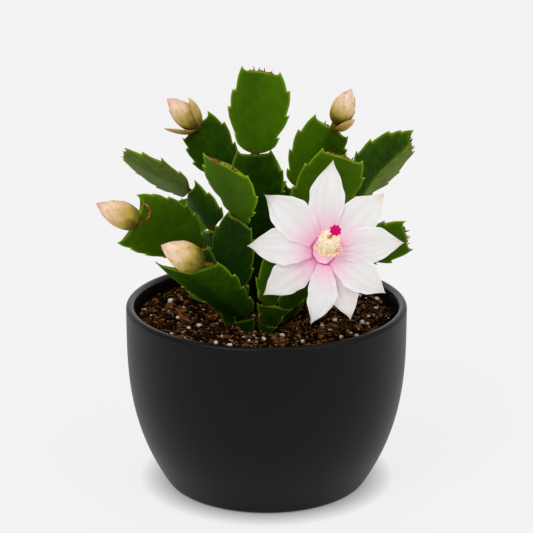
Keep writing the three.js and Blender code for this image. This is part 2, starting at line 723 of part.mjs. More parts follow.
function corollaGeometry() {
  const [halfWidth, halfHeight] = flower.throat;
  const [right, up] = [vector(1, 0, 0), vector(0, 1, 0)];
  const mouth = (grow, height) =>
    ringAround(vector(0, 0, height), right, up, halfWidth + grow, halfHeight + grow, flower.tubeSides);
  const hollow = tubeProfile.filter(([share]) => share >= flower.floorShare).reverse();
  const tube = loft([
    ...tubeProfile.map(([share, radius]) => tubeRing(share, radius, radius)),
    mouth(flower.wall, -1),
    mouth(flower.wall * 0.7, 0.8),
    mouth(0, 0),
    ...hollow.map(([share, radius]) => tubeRing(share, radius - flower.wall, radius - flower.wall)),
  ]);
  const { angles, at, start, reach, rise, width } = smallTepals;
  const lean = new THREE.Quaternion().setFromUnitVectors(vector(0, 0, 1), flowerTube.getTangent(at));
  const around = angles.map((angle) =>
    scaleGeometry(start, reach, rise, width)
      .rotateZ(rad(angle))
      .applyQuaternion(lean)
      .translate(...flowerTube.getPoint(at)),
  );
  return fuse([tube, ...around, ...petals.map(petalGeometry)]);
}

// The line that the style follows, from the floor of the throat out and up.
const styleLine = (() => {
  const floor = flowerTube.getPoint(flower.floorShare);
  const foot = floor.addScaledVector(flowerTube.getTangent(flower.floorShare), gap);
  const tip = vector(...pistil.tip);
  return new THREE.CubicBezierCurve3(foot, vector(0, 0, -5), vector(tip.x * 0.2, tip.y * 0.3, 5), tip);
})();

function stalkRings(line, radius, sides, steps) {
  return Array.from({ length: steps + 1 }, (_, i) => {
    const centre = line(i / steps);
    return flatRing(centre.z, radius, sides, centre.x, centre.y);
  });
}

function stamensGeometry() {
  const random = seeded(5);
  const foot = styleLine.getPoint(0);
  const { collar } = stamens;
  const ringAt = (z, radius) => flatRing(foot.z + z, radius, 12, foot.x, foot.y);
  const plug = toSolid(loft([ringAt(0, collar.radius), ringAt(collar.height, collar.radius)]));
  const inner = pistil.radius + gap;
  const bore = toSolid(loft([ringAt(-1, inner), ringAt(collar.height + 1, inner)]));
  let cluster = plug.subtract(bore);
  for (let i = 0; i < stamens.count; i++) {
    const angle = i * goldenAngle;
    const spread = Math.max(collar.radius, stamens.spread * Math.sqrt((i + 1) / stamens.count));
    const drop = (i / stamens.count + random()) / 2;
    const height = THREE.MathUtils.lerp(stamens.highest, stamens.lowest, drop);
    const share = (height - foot.z) / (pistil.tip[2] - foot.z);
    const line = (t) => {
      const centre = styleLine.getPoint(t * share);
      const out = THREE.MathUtils.lerp(collar.radius * 0.75, spread, t ** 2.2);
      return centre.add(vector(out * Math.cos(angle), out * Math.sin(angle), collar.height * 0.4));
    };
    const filament = loft(stalkRings(line, stamens.radius, 3, 2));
    const anther = new THREE.IcosahedronGeometry(stamens.anther, 0).scale(0.8, 1.25, 0.9).rotateZ(angle);
    const tip = line(1);
    cluster = cluster.add(toSolid(filament)).add(toSolid(anther.translate(tip.x, tip.y, tip.z)));
  }
  return fromSolid(cluster);
}

function pistilGeometry() {
  const style = loft(stalkRings((t) => styleLine.getPoint(t), pistil.radius, 6, 8));
  const [x, y, z] = pistil.tip;
  const lobes = Array.from({ length: pistil.lobes }, (_, i) => {
    const angle = (i / pistil.lobes) * 2 * Math.PI;
    const lobe = new THREE.IcosahedronGeometry(pistil.lobe, 0).scale(1.2, 0.8, 0.8).rotateZ(angle);
    return lobe.translate(x + pistil.lobeRing * Math.cos(angle), y + pistil.lobeRing * Math.sin(angle), z);
  });
  return fuse([style, ...lobes]);
}

// The whole plant in its pot

const plant = new THREE.Group();
plant.name = "potted_thanksgiving_cactus";

function place(name, geometry, finish, rotation, position) {
  const mesh = new THREE.Mesh(geometry, new THREE.MeshStandardMaterial({ metalness: 0, ...finish }));
  mesh.name = name;
  if (rotation) mesh.quaternion.copy(rotation);
  if (position) mesh.position.copy(position);
  plant.add(mesh);
}

place("pot", potGeometry(), { color: 0x232528, roughness: 0.55 });
place("soil", soilGeometry(), { color: 0x3a2a1e, roughness: 1 });
for (const [name, { form, rotation, position }] of Object.entries(grown))
  place(name, segmentGeometry(form), { color: tones[form.tone], roughness: 0.45 }, rotation, position);
for (const [name, form] of Object.entries(buds)) {
  const rotation = frameOf(form);
  const position = seatOn(grown[form.on], rotation, form.side, roundFoot);
  place(name, budGeometry(form), { color: 0xf0cdb4, roughness: 0.5 }, rotation, position);
}
const throat = vector(...flower.centre);
place("flower_corolla", corollaGeometry(), { color: 0xf6eef2, roughness: 0.5 }, flowerFrame, throat);
place("flower_stamens", stamensGeometry(), { color: 0xf5e3ae, roughness: 0.6 }, flowerFrame, throat);
place("flower_pistil", pistilGeometry(), { color: 0xd0125f, roughness: 0.5 }, flowerFrame, throat);

export default plant;
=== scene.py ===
import math
import random

import bmesh
import bpy
import numpy as np
from mathutils import Matrix, Vector, noise


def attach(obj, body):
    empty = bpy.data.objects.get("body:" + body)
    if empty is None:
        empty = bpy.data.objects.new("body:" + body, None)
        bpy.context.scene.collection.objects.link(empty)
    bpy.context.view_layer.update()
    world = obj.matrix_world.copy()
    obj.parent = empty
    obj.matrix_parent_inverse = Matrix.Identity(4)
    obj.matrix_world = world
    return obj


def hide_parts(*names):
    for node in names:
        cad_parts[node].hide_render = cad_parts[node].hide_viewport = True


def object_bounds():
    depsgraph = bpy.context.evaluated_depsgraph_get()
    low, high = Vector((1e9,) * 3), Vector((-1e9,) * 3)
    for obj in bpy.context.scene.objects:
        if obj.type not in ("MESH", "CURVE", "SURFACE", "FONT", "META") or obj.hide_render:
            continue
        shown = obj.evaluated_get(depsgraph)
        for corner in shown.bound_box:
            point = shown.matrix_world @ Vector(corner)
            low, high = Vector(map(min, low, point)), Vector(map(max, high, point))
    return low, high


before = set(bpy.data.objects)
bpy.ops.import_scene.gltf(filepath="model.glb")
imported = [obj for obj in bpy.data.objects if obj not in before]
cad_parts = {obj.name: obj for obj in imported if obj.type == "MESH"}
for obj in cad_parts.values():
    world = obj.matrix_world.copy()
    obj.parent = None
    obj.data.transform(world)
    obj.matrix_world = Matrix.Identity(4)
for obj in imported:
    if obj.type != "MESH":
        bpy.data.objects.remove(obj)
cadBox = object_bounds()
millimetre = 0.001  # sizes are in millimetres, apart from those of the studio
limits = np.array(cadBox) / millimetre  # no tip leaves the box of the solids
gap = 0.35  # between segments that grew together
anyTurn = (0, 6.28)  # the range of a random turn, in radians
goldenAngle = 2.39996  # from one tepal or stamen to the next, in radians
print("frame:", len(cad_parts), "nodes")


# Materials

class Wire:  # a socket of a material, so that shader maths is written as maths
    def __init__(self, tree, socket=None):
        self.tree = tree
        self.socket = socket

    def join(self, value, socket):
        if isinstance(value, Wire):
            self.tree.links.new(value.socket, socket)
        else:
            socket.default_value = value

    def node(self, kind, settings=None, inputs=None, output=0):
        made = self.tree.nodes.new(kind)
        for name, value in (settings or {}).items():
            if name == "stops":
                setStops(made.color_ramp, value)
            else:
                setattr(made, name, value)
        for name, value in (inputs or {}).items():
            self.join(value, made.inputs[name])
        return Wire(self.tree, made.outputs[output])

    def maths(self, operation, *values):
        return self.node("ShaderNodeMath", {"operation": operation}, dict(enumerate(values)))

    def __add__(self, other):
        return self.maths("ADD", self, other)

    __radd__ = __add__

    def __sub__(self, other):
        return self.maths("SUBTRACT", self, other)

    def __rsub__(self, other):
        return self.maths("SUBTRACT", other, self)

    def __mul__(self, other):
        return self.maths("MULTIPLY", self, other)

    __rmul__ = __mul__

    def __pow__(self, other):
        return self.maths("POWER", self, other)


def setStops(band, stops):
    while len(band.elements) < len(stops):
        band.elements.new(0.5)
    for element, (spot, colour) in zip(band.elements, stops):
        element.position = spot
        element.color = colour if hasattr(colour, "__len__") else (colour, colour, colour, 1)


def rgb(*levels):  # a colour as a screen shows it, 0 to 255
    return (*(((c / 255 + 0.055) / 1.055) ** 2.4 if c > 10 else c / 255 / 12.92 for c in levels), 1)


def newFinish(name, fixed):
    material = bpy.data.materials.new(name)
    material.use_nodes = True
    tree = material.node_tree
    shader = tree.nodes["Principled BSDF"]
    for socket, value in fixed.items():
        shader.inputs[socket].default_value = value
    return material, Wire(tree), shader


def share(paint, name):
    return paint.node("ShaderNodeAttribute", {"attribute_name": name}, output="Fac")


def combined(paint, **axes):
    return paint.node("ShaderNodeCombineXYZ", {}, axes)


def grain(paint, scale, detail=2.0, rough=0.5, where=None):
    where = where or paint.node("ShaderNodeTexCoord", output="Object")
    inputs = {"Vector": where, "Scale": scale, "Detail": detail, "Roughness": rough}
    return paint.node("ShaderNodeTexNoise", {}, inputs)


def blendOf(paint, factor, first, second):
    inputs = {0: factor, 6: first, 7: second}  # by number, as the names of its sockets repeat
    return paint.node("ShaderNodeMix", {"data_type": "RGBA"}, inputs, output=2)


def ramp(value, stops):
    return value.node("ShaderNodeValToRGB", {"stops": stops}, {"Fac": value})


def relief(paint, height, depth, strength):
    inputs = {"Height": height, "Distance": depth * millimetre, "Strength": strength}
    return paint.node("ShaderNodeBump", {}, inputs)


# Meshes

def buildPiece(name, points, faces, material, shares, slot, nodes=(), smooth=True):
    mesh = bpy.data.meshes.new(name)
    places = (np.asarray(points, float) * millimetre).tolist()
    mesh.from_pydata(places, [], [tuple(map(int, face)) for face in faces])
    mesh.polygons.foreach_set("use_smooth", [smooth] * len(mesh.polygons))
    for key, values in shares.items():
        made = mesh.attributes.new(key, "FLOAT", "POINT")
        made.data.foreach_set("value", np.asarray(values, np.float32))
    mesh.materials.append(material)
    piece = bpy.data.objects.new(name, mesh)
    bpy.context.scene.collection.objects.link(piece)
    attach(piece, "root")
    if nodes:
        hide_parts(*nodes)
    return piece


class Pile:  # meshes that end up in one piece, each with its own shares
    def __init__(self):
        self.points = []
        self.faces = []
        self.shares = {}
        self.count = 0

    def add(self, points, faces, **shares):
        points = np.asarray(points, float).reshape(-1, 3)
        self.points.append(points)
        self.faces += [tuple(int(i) + self.count for i in face) for face in faces]
        for key, value in shares.items():
            values = np.broadcast_to(np.asarray(value, float), len(points))
            self.shares.setdefault(key, []).append(values)
        self.count += len(points)

    def build(self, name, material, slot, **more):
        shares = {key: np.concatenate(values) for key, values in self.shares.items()}
        return buildPiece(name, np.concatenate(self.points), self.faces, material, shares, slot, **more)


def gridQuads(rows, columns, closed=False):
    across = columns if closed else columns - 1
    quads = []
    for row in range(rows - 1):
        for column in range(across):
            beside = (column + 1) % columns
            quads.append((row * columns + column, row * columns + beside,
                          (row + 1) * columns + beside, (row + 1) * columns + column))
    return quads


def closedSheet(front, back, roundness=0.6):
    rows, columns = front.shape[:2]
    count = rows * columns
    lastRow, lastColumn = rows - 1, columns - 1
    rim = [(0, c) for c in range(lastColumn)] + [(r, lastColumn) for r in range(lastRow)]
    rim += [(lastRow - r, lastColumn - c) for r, c in rim]
    rim = np.array(rim)
    ring = rim[:, 0] * columns + rim[:, 1]
    inward = np.clip(rim[:, 0], 1, rows - 2) * columns + np.clip(rim[:, 1], 1, columns - 2)
    flatFront, flatBack = front.reshape(-1, 3), back.reshape(-1, 3)
    middle = (flatFront + flatBack) / 2
    outward = middle[ring] - middle[inward]
    outward /= np.linalg.norm(outward, axis=1)[:, None] + 1e-9
    half = np.linalg.norm(flatFront[ring] - flatBack[ring], axis=1)[:, None] / 2
    edge = middle[ring] + outward * half * roundness
    faces = []
    for quad in gridQuads(rows, columns):
        faces.append(quad)
        faces.append(tuple(i + count for i in reversed(quad)))
    for i in range(len(ring)):
        j = (i + 1) % len(ring)
        a, b, m, n = ring[i], ring[j], 2 * count + i, 2 * count + j
        faces.append((a, m, n, b))
        faces.append((m, a + count, b + count, n))
    return np.concatenate([flatFront, flatBack, edge]), faces, ring


def spread(values, ring):  # a grid's shares, for its front, its back and its rim
    flat = np.asarray(values, float).ravel()
    return np.concatenate([flat, flat, flat[ring]])


def sheetGrid(rows, columns):  # how far along a sheet, 0 to 1, and how far across, -1 to 1
    return np.linspace(0, 1, rows)[:, None], np.linspace(-1, 1, columns)[None, :]


def tubeBody(rings):  # a closed body between rings of points
    rings = np.asarray(rings, float)
    count, sides = rings.shape[:2]
    faces = gridQuads(count, sides, closed=True)
    faces += [(count * sides, (i + 1) % sides, i) for i in range(sides)]
    last = (count - 1) * sides
    faces += [(count * sides + 1, last + i, last + (i + 1) % sides) for i in range(sides)]
    middles = [rings[0].mean(0)[None], rings[-1].mean(0)[None]]
    return np.concatenate([rings.reshape(-1, 3), *middles]), faces


def anglesOf(sides):
    return np.linspace(0, 2 * math.pi, sides, endpoint=False)


def levelRing(radius, angles, height):
    return np.stack([radius * np.cos(angles), radius * np.sin(angles), 0 * angles + height], -1)


def ringAround(centre, along, radius, sides):  # a ring square to a line that passes its centre
    sideways = Vector((1, 0, 0)) - along * along.x
    across = (along.orthogonal() if abs(along.x) > 0.95 else sideways).normalized()
    angles = anglesOf(sides)
    around = np.outer(np.cos(angles), across) + np.outer(np.sin(angles), along.cross(across))
    return centre + radius * around


def ringsAlong(centres, radii, sides):
    centres = np.asarray(centres, float)
    ways = [Vector(tangent).normalized() for tangent in np.gradient(centres, axis=0)]
    return [ringAround(centre, way, radius, sides) for centre, way, radius in zip(centres, ways, radii)]


def throughPoints(points, samples):  # a smooth line through a few points
    points = np.asarray(points, float)
    padded = np.concatenate([[2 * points[0] - points[1]], points, [2 * points[-1] - points[-2]]])
    line = []
    for t in np.linspace(0, len(points) - 1, samples):
        i = min(int(t), len(points) - 2)
        u = t - i
        a, b, c, d = padded[i:i + 4]
        square, cube = 2 * a - 5 * b + 4 * c - d, 3 * b - a - 3 * c + d
        line.append(0.5 * (2 * b + (c - a) * u + square * u * u + cube * u ** 3))
    return np.array(line)


def bezier(a, b, c, d, t):
    a, b, c, d = (np.asarray(p, float) for p in (a, b, c, d))
    t = np.asarray(t, float)[..., None]
    return a * (1 - t) ** 3 + 3 * b * t * (1 - t) ** 2 + 3 * c * t * t * (1 - t) + d * t ** 3


def settled(points, turned, position):
    return np.asarray(points) @ np.array(turned.transposed()) + np.array(position)


def tumbled(draw, angles, lean):  # a random turn about the upright, then a random lean
    turned = Matrix.Rotation(draw.uniform(*angles), 3, "Z")
    return turned @ Matrix.Rotation(draw.uniform(-lean, lean), 3, "X")


golden = (1 + math.sqrt(5)) / 2
corners = [(near, far * golden) for far in (1, -1) for near in (-1, 1)]
pebblePoints = [(a, b, 0) for a, b in corners] + [(0, a, b) for a, b in corners]
pebblePoints = np.array(pebblePoints + [(b, 0, a) for a, b in corners], float) / math.hypot(1, golden)
pebbleFaces = [
    (0, 11, 5), (0, 5, 1), (0, 1, 7), (0, 7, 10), (0, 10, 11), (1, 5, 9), (5, 11, 4), (11, 10, 2),
    (10, 7, 6), (7, 1, 8), (3, 9, 4), (3, 4, 2), (3, 2, 6), (3, 6, 8), (3, 8, 9), (4, 9, 5), (2, 4, 11),
    (6, 2, 10), (8, 6, 7), (9, 8, 1),
]


def pebble(radius, draw, rough, flat=1.0):  # a small irregular grain of twenty faces
    scale = np.array([[1 + rough * draw.uniform(-1, 1)] for _ in pebblePoints])
    grown = pebblePoints * scale * (radius, radius, radius * flat)
    return settled(grown, tumbled(draw, anyTurn, 0.5), (0, 0, 0)), pebbleFaces


def ballMesh():
    mesh = bmesh.new()
    bmesh.ops.create_icosphere(mesh, subdivisions=3, radius=1)
    points = np.array([v.co[:] for v in mesh.verts])
    faces = [tuple(v.index for v in face.verts) for face in mesh.faces]
    mesh.free()
    return points, faces


ballPoints, ballFaces = ballMesh()


# Stem segments: the same sizes as the solids that they replace

blade = {
    "footWidth": 1.5, "footThickness": 0.6, "neckWidth": 1.9, "neck": 0.9, "buried": 6, "spine": 1.1,
    "margin": 0.3, "bite": 1.8, "hook": 0.75, "hornHook": 2.1, "notchDrop": 0.2, "sag": 0.6, "swell": 0.08,
    "rib": 0.1, "wave": 0.35, "ripple": 0.2,
    "swells": [(0.5, 0.045), (0.85, 0.012)], "firstSwells": [(0.2, 0.17), (0.6, 0.17), (0.88, 0.06)],
    "columns": 31, "firstSamples": 17, "samples": 13, "notchSamples": 4, "shortestWithEnd": 15,
}
usualTeeth = [(0.3, 13), (0.66, 15), (1.01, 9)]
footReach = {"blade": (blade["footWidth"], blade["footThickness"]), "round": 1.5}

# tone sets each segment's green, from the deep green to the light one: partly the segment's own colour and
# partly painted shade and light, set by segment and by half blade, as on the darker left half of
# front_left_segment_2
segments = {
    "front_left_segment_1": dict(
        root=(-8.5, -25.5, 84.5), tilt=-14, toward=7, turn=-3, length=8, girth=0.62,
        left=[(8.2, 5.2)], right=[(8.1, 4.6)], tone=-0.3, plump=0.1),
    "front_left_segment_2": dict(
        on="front_left_segment_1", tilt=-37, toward=31, turn=-15, length=45, fold=12, bend=5, twist=-17,
        left=[(3, 4, 0.6), (19.5, 11.5), (34.5, 15), (56, 16.5)],
        right=[(11.5, 10.5), (21.5, 13), (34, 15.5), (50, 15.5)],
        tone=(0, 0.25), crust=0.05, crown=4, curve=1.1),
    "front_middle_segment_1": dict(
        root=(-13, -14.5, 85), tilt=-3, toward=8, turn=-20, length=14, girth=0.4, tone=-0.1),
    "front_middle_segment_2": dict(
        on="front_middle_segment_1", tilt=1, toward=11, turn=-32, length=43.5, fold=-6, bend=-2, twist=-18,
        left=[(9, 11.5), (23, 18.5), (35.5, 15.5), (45.5, 8)],
        right=[(10.5, 6.5), (21.5, 10.5), (34, 11.5), (43.5, 9.5)], tone=0.0),
    "front_middle_segment_3": dict(
        on="front_middle_segment_2", tilt=-10, toward=38, turn=-48, length=42, fold=-5, bend=-2, twist=5,
        left=[(8.5, 10.5), (19, 15.5), (33, 16), (43.5, 13.5)],
        right=[(7, 8.5), (16.5, 13.5), (32, 17.5), (44, 12.5)], tone=0.85, crust=1, spines=2),
    "centre_segment_1": dict(root=(-4, 2, 85.5), tilt=-1, toward=1, length=39.5, girth=0.85, tone=0.1),
    "centre_segment_2": dict(
        on="centre_segment_1", tilt=-1, toward=6, turn=6, length=44, fold=11, bend=-2,
        left=[(8.5, 10), (22.5, 15), (34, 14), (46.5, 8.5)],
        right=[(8.5, 10), (23.5, 15), (34.5, 14), (45.5, 8)], tone=0.1),
    "centre_segment_3": dict(
        on="centre_segment_2", tilt=4, toward=-5, turn=-7, length=40, bend=3, twist=-3,
        left=[(8.5, 11, 0.4), (21.5, 15.5), (30, 13.5), (42, 9.5)],
        right=[(8.5, 11.5), (19.5, 15.5), (31.5, 15), (40.5, 9.5)], tone=(0.65, 0.8), crust=0.8, spines=4),
    "tall_left_segment_1": dict(root=(-6, 12, 86), tilt=-6, toward=4, length=36.5, tone=0.15),
    "tall_left_segment_2": dict(
        on="tall_left_segment_1", tilt=-12, toward=5, turn=62, length=31, girth=0.55, tone=0.15),
    "tall_left_segment_3": dict(
        on="tall_left_segment_2", tilt=-35, toward=-10, turn=-12, length=32, fold=6, bend=-1, twist=2,
        left=[(7.5, 10), (18, 13.5), (25.5, 12), (31, 10)],
        right=[(6, 9), (15, 12), (26, 13), (35, 9)], tone=0.2),
    "left_segment_1": dict(
        root=(-17.5, -18, 84.5), tilt=-9, toward=-2, turn=-5, length=11.5, girth=0.5, fold=9,
        left=[(12, 4.5)], right=[(12, 4.5)], tone=-0.1, plump=0.1),
    "left_upper_segment_1": dict(
        root=(-16, -3.5, 87), tilt=-13, toward=-4, turn=-18, length=45.5, fold=13, bend=9, twist=-22,
        left=[(12, 10), (26, 14.5), (39, 14.5), (45.2, 5.4)],
        right=[(12, 10), (26, 14.5), (37, 11), (45, 5)], tone=0.15),
    "left_upper_segment_2": dict(
        on="left_upper_segment_1", side=1.5, tilt=-36, toward=-17, turn=-40, length=21,
        fold=7, bend=-5, twist=-9,
        left=[(9.5, 5), (15, 10), (19.5, 9.5)],
        right=[(5.5, 14), (15, 12.5), (24, 8.5)], tone=0.1),
    "left_upper_segment_3": dict(
        on="left_upper_segment_2", tilt=-69, toward=-11, turn=-48, length=36.5, fold=6, bend=-11, twist=-6,
        left=[(8.5, 14.5, 2.6), (18.5, 18.4, 3.2), (31, 15.5, 3.2), (38.5, 8)],
        right=[(7, 12, 2.6), (17, 17, 3), (27.5, 13.5, 3), (37, 8)],
        tone=0.35, pale=(0.85, 0.65), line=0.6, crust=1, spines=2),
    "left_segment_2": dict(
        on="left_segment_1", side=-1, tilt=-22, toward=1, turn=-15, length=31.5, girth=0.45, tone=0),
    "left_segment_3": dict(
        on="left_segment_2", tilt=-53, toward=23, turn=-5, length=39, fold=7, bend=17, twist=16,
        left=[(4, 7.5, 0.4), (11.5, 14, 0.8), (22, 16, 0.6), (33.5, 15.6, 0.6), (45.2, 14.3)],
        right=[(3.5, 7, 0.4), (13, 14), (19.5, 16), (30.5, 15.5, 1.3), (38.5, 13.8, 0.6), (47.5, 10.6)],
        tone=(0.5, 0.6), crown=3),
    "front_right_segment_1": dict(
        root=(-1.3, -26, 84.5), tilt=18, toward=7, turn=-5, length=5.2, girth=0.66,
        left=[(6.3, 5.2)], right=[(6.4, 4.9)], tone=-0.3, plump=0.1),
    "front_right_segment_2": dict(
        on="front_right_segment_1", tilt=20, toward=5, turn=22, length=10.6, fold=-1,
        left=[(5, 7, 0.6), (11.1, 10)], right=[(5.6, 6.6, 0.8), (11.1, 9.5)], tone=0.2),
    "front_right_segment_3": dict(
        on="front_right_segment_2", side=-5, tilt=25, toward=-9, turn=21, length=37, fold=5,
        left=[(4, 6.5, 0.4), (10.5, 11), (24.5, 11.5), (38, 8)],
        right=[(8, 6.5), (18, 12), (29, 12.5), (38, 8)], tone=0.35),
    "front_right_segment_4": dict(
        on="front_right_segment_3", tilt=25, toward=1, turn=19, length=45.5, fold=3, bend=14, twist=3,
        left=[(9, 10.5), (22.5, 15), (35.5, 15), (46.5, 11.5)],
        right=[(11, 13), (27.5, 19), (38, 17.5), (46.5, 11)], tone=0.75, crust=1, spines=3),
    "flower_segment": dict(
        on="front_right_segment_2", side=5, tilt=31, toward=9, turn=25, length=34.5, fold=4, bend=3, twist=4,
        left=[(6, 6, 0.4), (14, 11.5), (25, 12), (36, 8)],
        right=[(7, 7.5, 0.4), (15, 12), (26, 12), (36, 8)], tone=0.3),
    "tall_right_segment_1": dict(root=(10, 10, 86), tilt=6, toward=12, length=39, girth=0.75, tone=0.15),
    "tall_right_segment_2": dict(
        on="tall_right_segment_1", tilt=4, toward=-4, turn=-18, length=25.5, fold=10, bend=2, twist=-7,
        left=[(8, 9.5), (17, 12), (27, 7.5)],
        right=[(8, 9.5), (17, 12), (26.5, 7.5)], tone=0.15),
    "tall_right_segment_3": dict(
        on="tall_right_segment_2", tilt=25, toward=12, turn=7, length=37, fold=4, bend=4, twist=-10,
        left=[(7, 9.5), (17, 13), (28, 13.5), (39.5, 9.5)],
        right=[(7, 9.5), (18, 13.5), (29.5, 12.5), (36.5, 9.5)], tone=(0.95, 0.45), crust=0.35, spines=3),
    "far_right_segment_1": dict(
        root=(9, -10, 86), tilt=33, toward=3, turn=34, length=45, fold=13, bend=4, twist=4,
        left=[(8.5, 8.5), (22.5, 12.5), (34.5, 11.5), (46.5, 7.5)],
        right=[(11.5, 3.5, 0.4), (23, 10.5), (34.5, 11.5), (45.3, 6.5)], tone=0.15),
    "far_right_lower_segment_2": dict(
        on="far_right_segment_1", side=3, tilt=77, toward=1, turn=16, length=32.5, fold=5, bend=-1, twist=2,
        left=[(8, 4.5, 0.4), (15, 10), (24, 11.5), (34, 8.5)],
        right=[(9, 8.5), (15.5, 13.5), (23, 14.5), (34.5, 9)], tone=0.5, crust=0.6, spines=4),
    "far_right_upper_segment_2": dict(
        on="far_right_segment_1", side=-4, tilt=29, toward=-8, length=22, girth=0.45, tone=0.2),
    "far_right_upper_segment_3": dict(
        on="far_right_upper_segment_2", tilt=36, toward=-30, turn=45, length=42.5,
        fold=14, bend=22, twist=-6,
        left=[(6, 9, 0.4), (19.5, 19.5), (28.5, 17.5), (38, 13), (42.6, 9.2, 1.2), (47.5, 4.5)],
        right=[(6, 7, 0.4), (13.5, 9.5), (23.5, 15), (31.5, 15.5), (43, 9)],
        tone=(0.12, 0.2), pale=(0.05, 0.95), line=0.8, crust=0.8, spines=6),
    "back_middle_segment_1": dict(root=(-1, 23, 87), tilt=-8, toward=-26, turn=8, length=40, tone=0.4),
    "back_middle_segment_2": dict(
        on="back_middle_segment_1", tilt=5, toward=-45, turn=-10, length=38, bend=-8, tone=0.7),
    "back_right_segment_1": dict(
        root=(16, 21, 87), tilt=22, toward=-22, turn=-15, length=39, tone=0.4),
    "back_right_segment_2": dict(
        on="back_right_segment_1", tilt=32, toward=-40, turn=-12, length=36, bend=-8, tone=0.5),
    "back_left_segment_1": dict(
        root=(-24, 17, 87.5), tilt=-25, toward=-28, turn=20, length=35, tone=0.4),
    "back_left_segment_2": dict(
        on="back_left_segment_1", tilt=-38, toward=-62, turn=12, length=32, bend=-6, tone=0.65),
    "back_side_segment_1": dict(
        root=(26, 10, 88), tilt=35, toward=-24, turn=-20, length=36, girth=0.85, tone=0.45),
}


def turnOf(form):
    turned = Matrix.Identity(3)
    for name, axis in (("tilt", "Y"), ("toward", "X"), ("turn", "Z")):
        turned = turned @ Matrix.Rotation(math.radians(form.get(name, 0)), 3, axis)
    return turned


def bladePoints(form, along, out, behind):  # places on a bent, twisted and folded blade
    along, out, behind = np.broadcast_arrays(*(np.asarray(v, float) for v in (along, out, behind)))
    bend, twist, fold = (math.radians(form.get(*way)) for way in (("bend", 0), ("twist", 0), ("fold", 8)))
    curl = bend / form["length"]
    lean, spin = curl * along, twist * along / form["length"]
    zero = np.zeros_like(along)
    if abs(curl) < 1e-6:
        middle = np.stack([zero, zero, along], -1)
    else:
        middle = np.stack([zero, (np.cos(lean) - 1) / curl, np.sin(lean) / curl], -1)
    backward = np.stack([zero, np.cos(lean), np.sin(lean)], -1)
    right = np.array([1.0, 0, 0])
    across = np.cos(spin)[..., None] * right + np.sin(spin)[..., None] * backward
    back = -np.sin(spin)[..., None] * right + np.cos(spin)[..., None] * backward
    keel = np.sqrt(out ** 2 + 0.8) - 0.9  # the fold is soft along the midrib
    sideways, backwards = out * math.cos(fold), keel * math.sin(fold) + behind
    return middle + across * sideways[..., None] + back * backwards[..., None]


def teethOn(form, side):  # how far along and how far out each tooth stands, and the bite before the next
    girth = form.get("girth", 1)
    return form.get(side) or [(part * form["length"], width * girth) for part, width in usualTeeth]


def endEdge(form, side):
    horn = teethOn(form, "left" if side < 0 else "right")[-1]
    dip = (form["length"] + (horn[0] - form["length"]) / 4 - blade["sag"], horn[1] / 2)
    out = abs(side)
    if out < dip[1]:
        return form["length"] + (dip[0] - form["length"]) * out / dip[1]
    return dip[0] + (horn[0] - dip[0]) * (out - dip[1]) / dip[1]


def seatOn(parent, turned, side, reach):  # where the next piece starts, with the gap to the end edge
    form, position, rotation = parent
    lean = math.radians(form.get("bend", 0))
    ahead = rotation @ Vector((0, -math.sin(lean), math.cos(lean)))
    across, behind = (abs((turned @ Vector(way)).dot(ahead)) for way in ((1, 0, 0), (0, 1, 0)))
    if np.isscalar(reach):
        lift = reach * math.hypot(across, behind)
    else:
        lift = reach[0] * across + reach[1] * behind
    peak = form["length"] if abs(side) <= blade["footWidth"] else 0
    end = max(peak, endEdge(form, side))
    return rotation @ Vector(bladePoints(form, end, side, 0)) + position + ahead * (gap + lift)


grown = {}  # each segment with its place and its turn
for segmentName, segment in segments.items():
    turned = turnOf(segment)
    if "root" in segment:
        spot = Vector(segment["root"])
    else:
        spot = seatOn(grown[segment["on"]], turned, segment.get("side", 0), footReach["blade"])
    grown[segmentName] = (segment, spot, turned)


def hornHook(along):
    return min(blade["hornHook"], along * 0.09)


def marginLine(teeth, rooted, plump):  # places up one side: along, out, and how far the tooth hooks up
    foot = blade["neckWidth"]
    depths = (blade["buried"], blade["buried"] / 2) if rooted else (blade["neck"], 0.3)
    line = [(-depth, foot, 0) for depth in depths]
    envelope = [place[:2] for place in line]
    start, startHook = (0, foot), 0
    tips, notches = [], []
    for i, tooth in enumerate(teeth):
        along, out = tooth[:2]
        bite = tooth[2] if len(tooth) > 2 else blade["bite"]
        rise, width = along - start[0], out - start[1]
        swells = blade["swells"] if i else [(part, swell * plump) for part, swell in blade["firstSwells"]]
        through = [start]
        for part, swell in swells:
            climb = max(0.12 * rise, part * rise - swell * width)
            through.append((start[0] + climb, start[1] + part * width + swell * rise))
        through.append((along, out))
        envelope += through if i == 0 else through[1:]
        fine = throughPoints(through, blade["samples"] if i else blade["firstSamples"])
        isHorn = i == len(teeth) - 1
        hook = hornHook(along) if isHorn else min(blade["hook"] * bite, along * 0.12)
        for k, (a, o) in enumerate(fine):
            f = k / (len(fine) - 1)
            line.append((a, o, hook * f ** 4 + startHook * (1 - f) ** 3))
        tips.append((along, out))
        if not isHorn:
            notch = (along - blade["notchDrop"] * bite, out - bite)
            for k in range(1, blade["notchSamples"]):
                f = k / blade["notchSamples"]
                line.append((along + (notch[0] - along) * f ** 0.7, out - bite * f, hook * (1 - 0.6 * f)))
            start, startHook = notch, hook * 0.4
            notches.append(notch)
    return np.array(line), np.array(envelope), tips, notches


def shared(value, out):  # one value, or one for each side of the midrib
    left, right = value if hasattr(value, "__len__") else (value, value)
    return left + (right - left) / (1 + np.exp(-out * 1.6))


def endShape(form, rise, size):  # the end edge against the midrib's tip, without its horns
    dip = 2.4 * blade["sag"] * size * (1 - size)
    return rise * size ** form.get("curve", 2) - dip + form.get("crown", 0) * (1 - size ** 2) ** 2


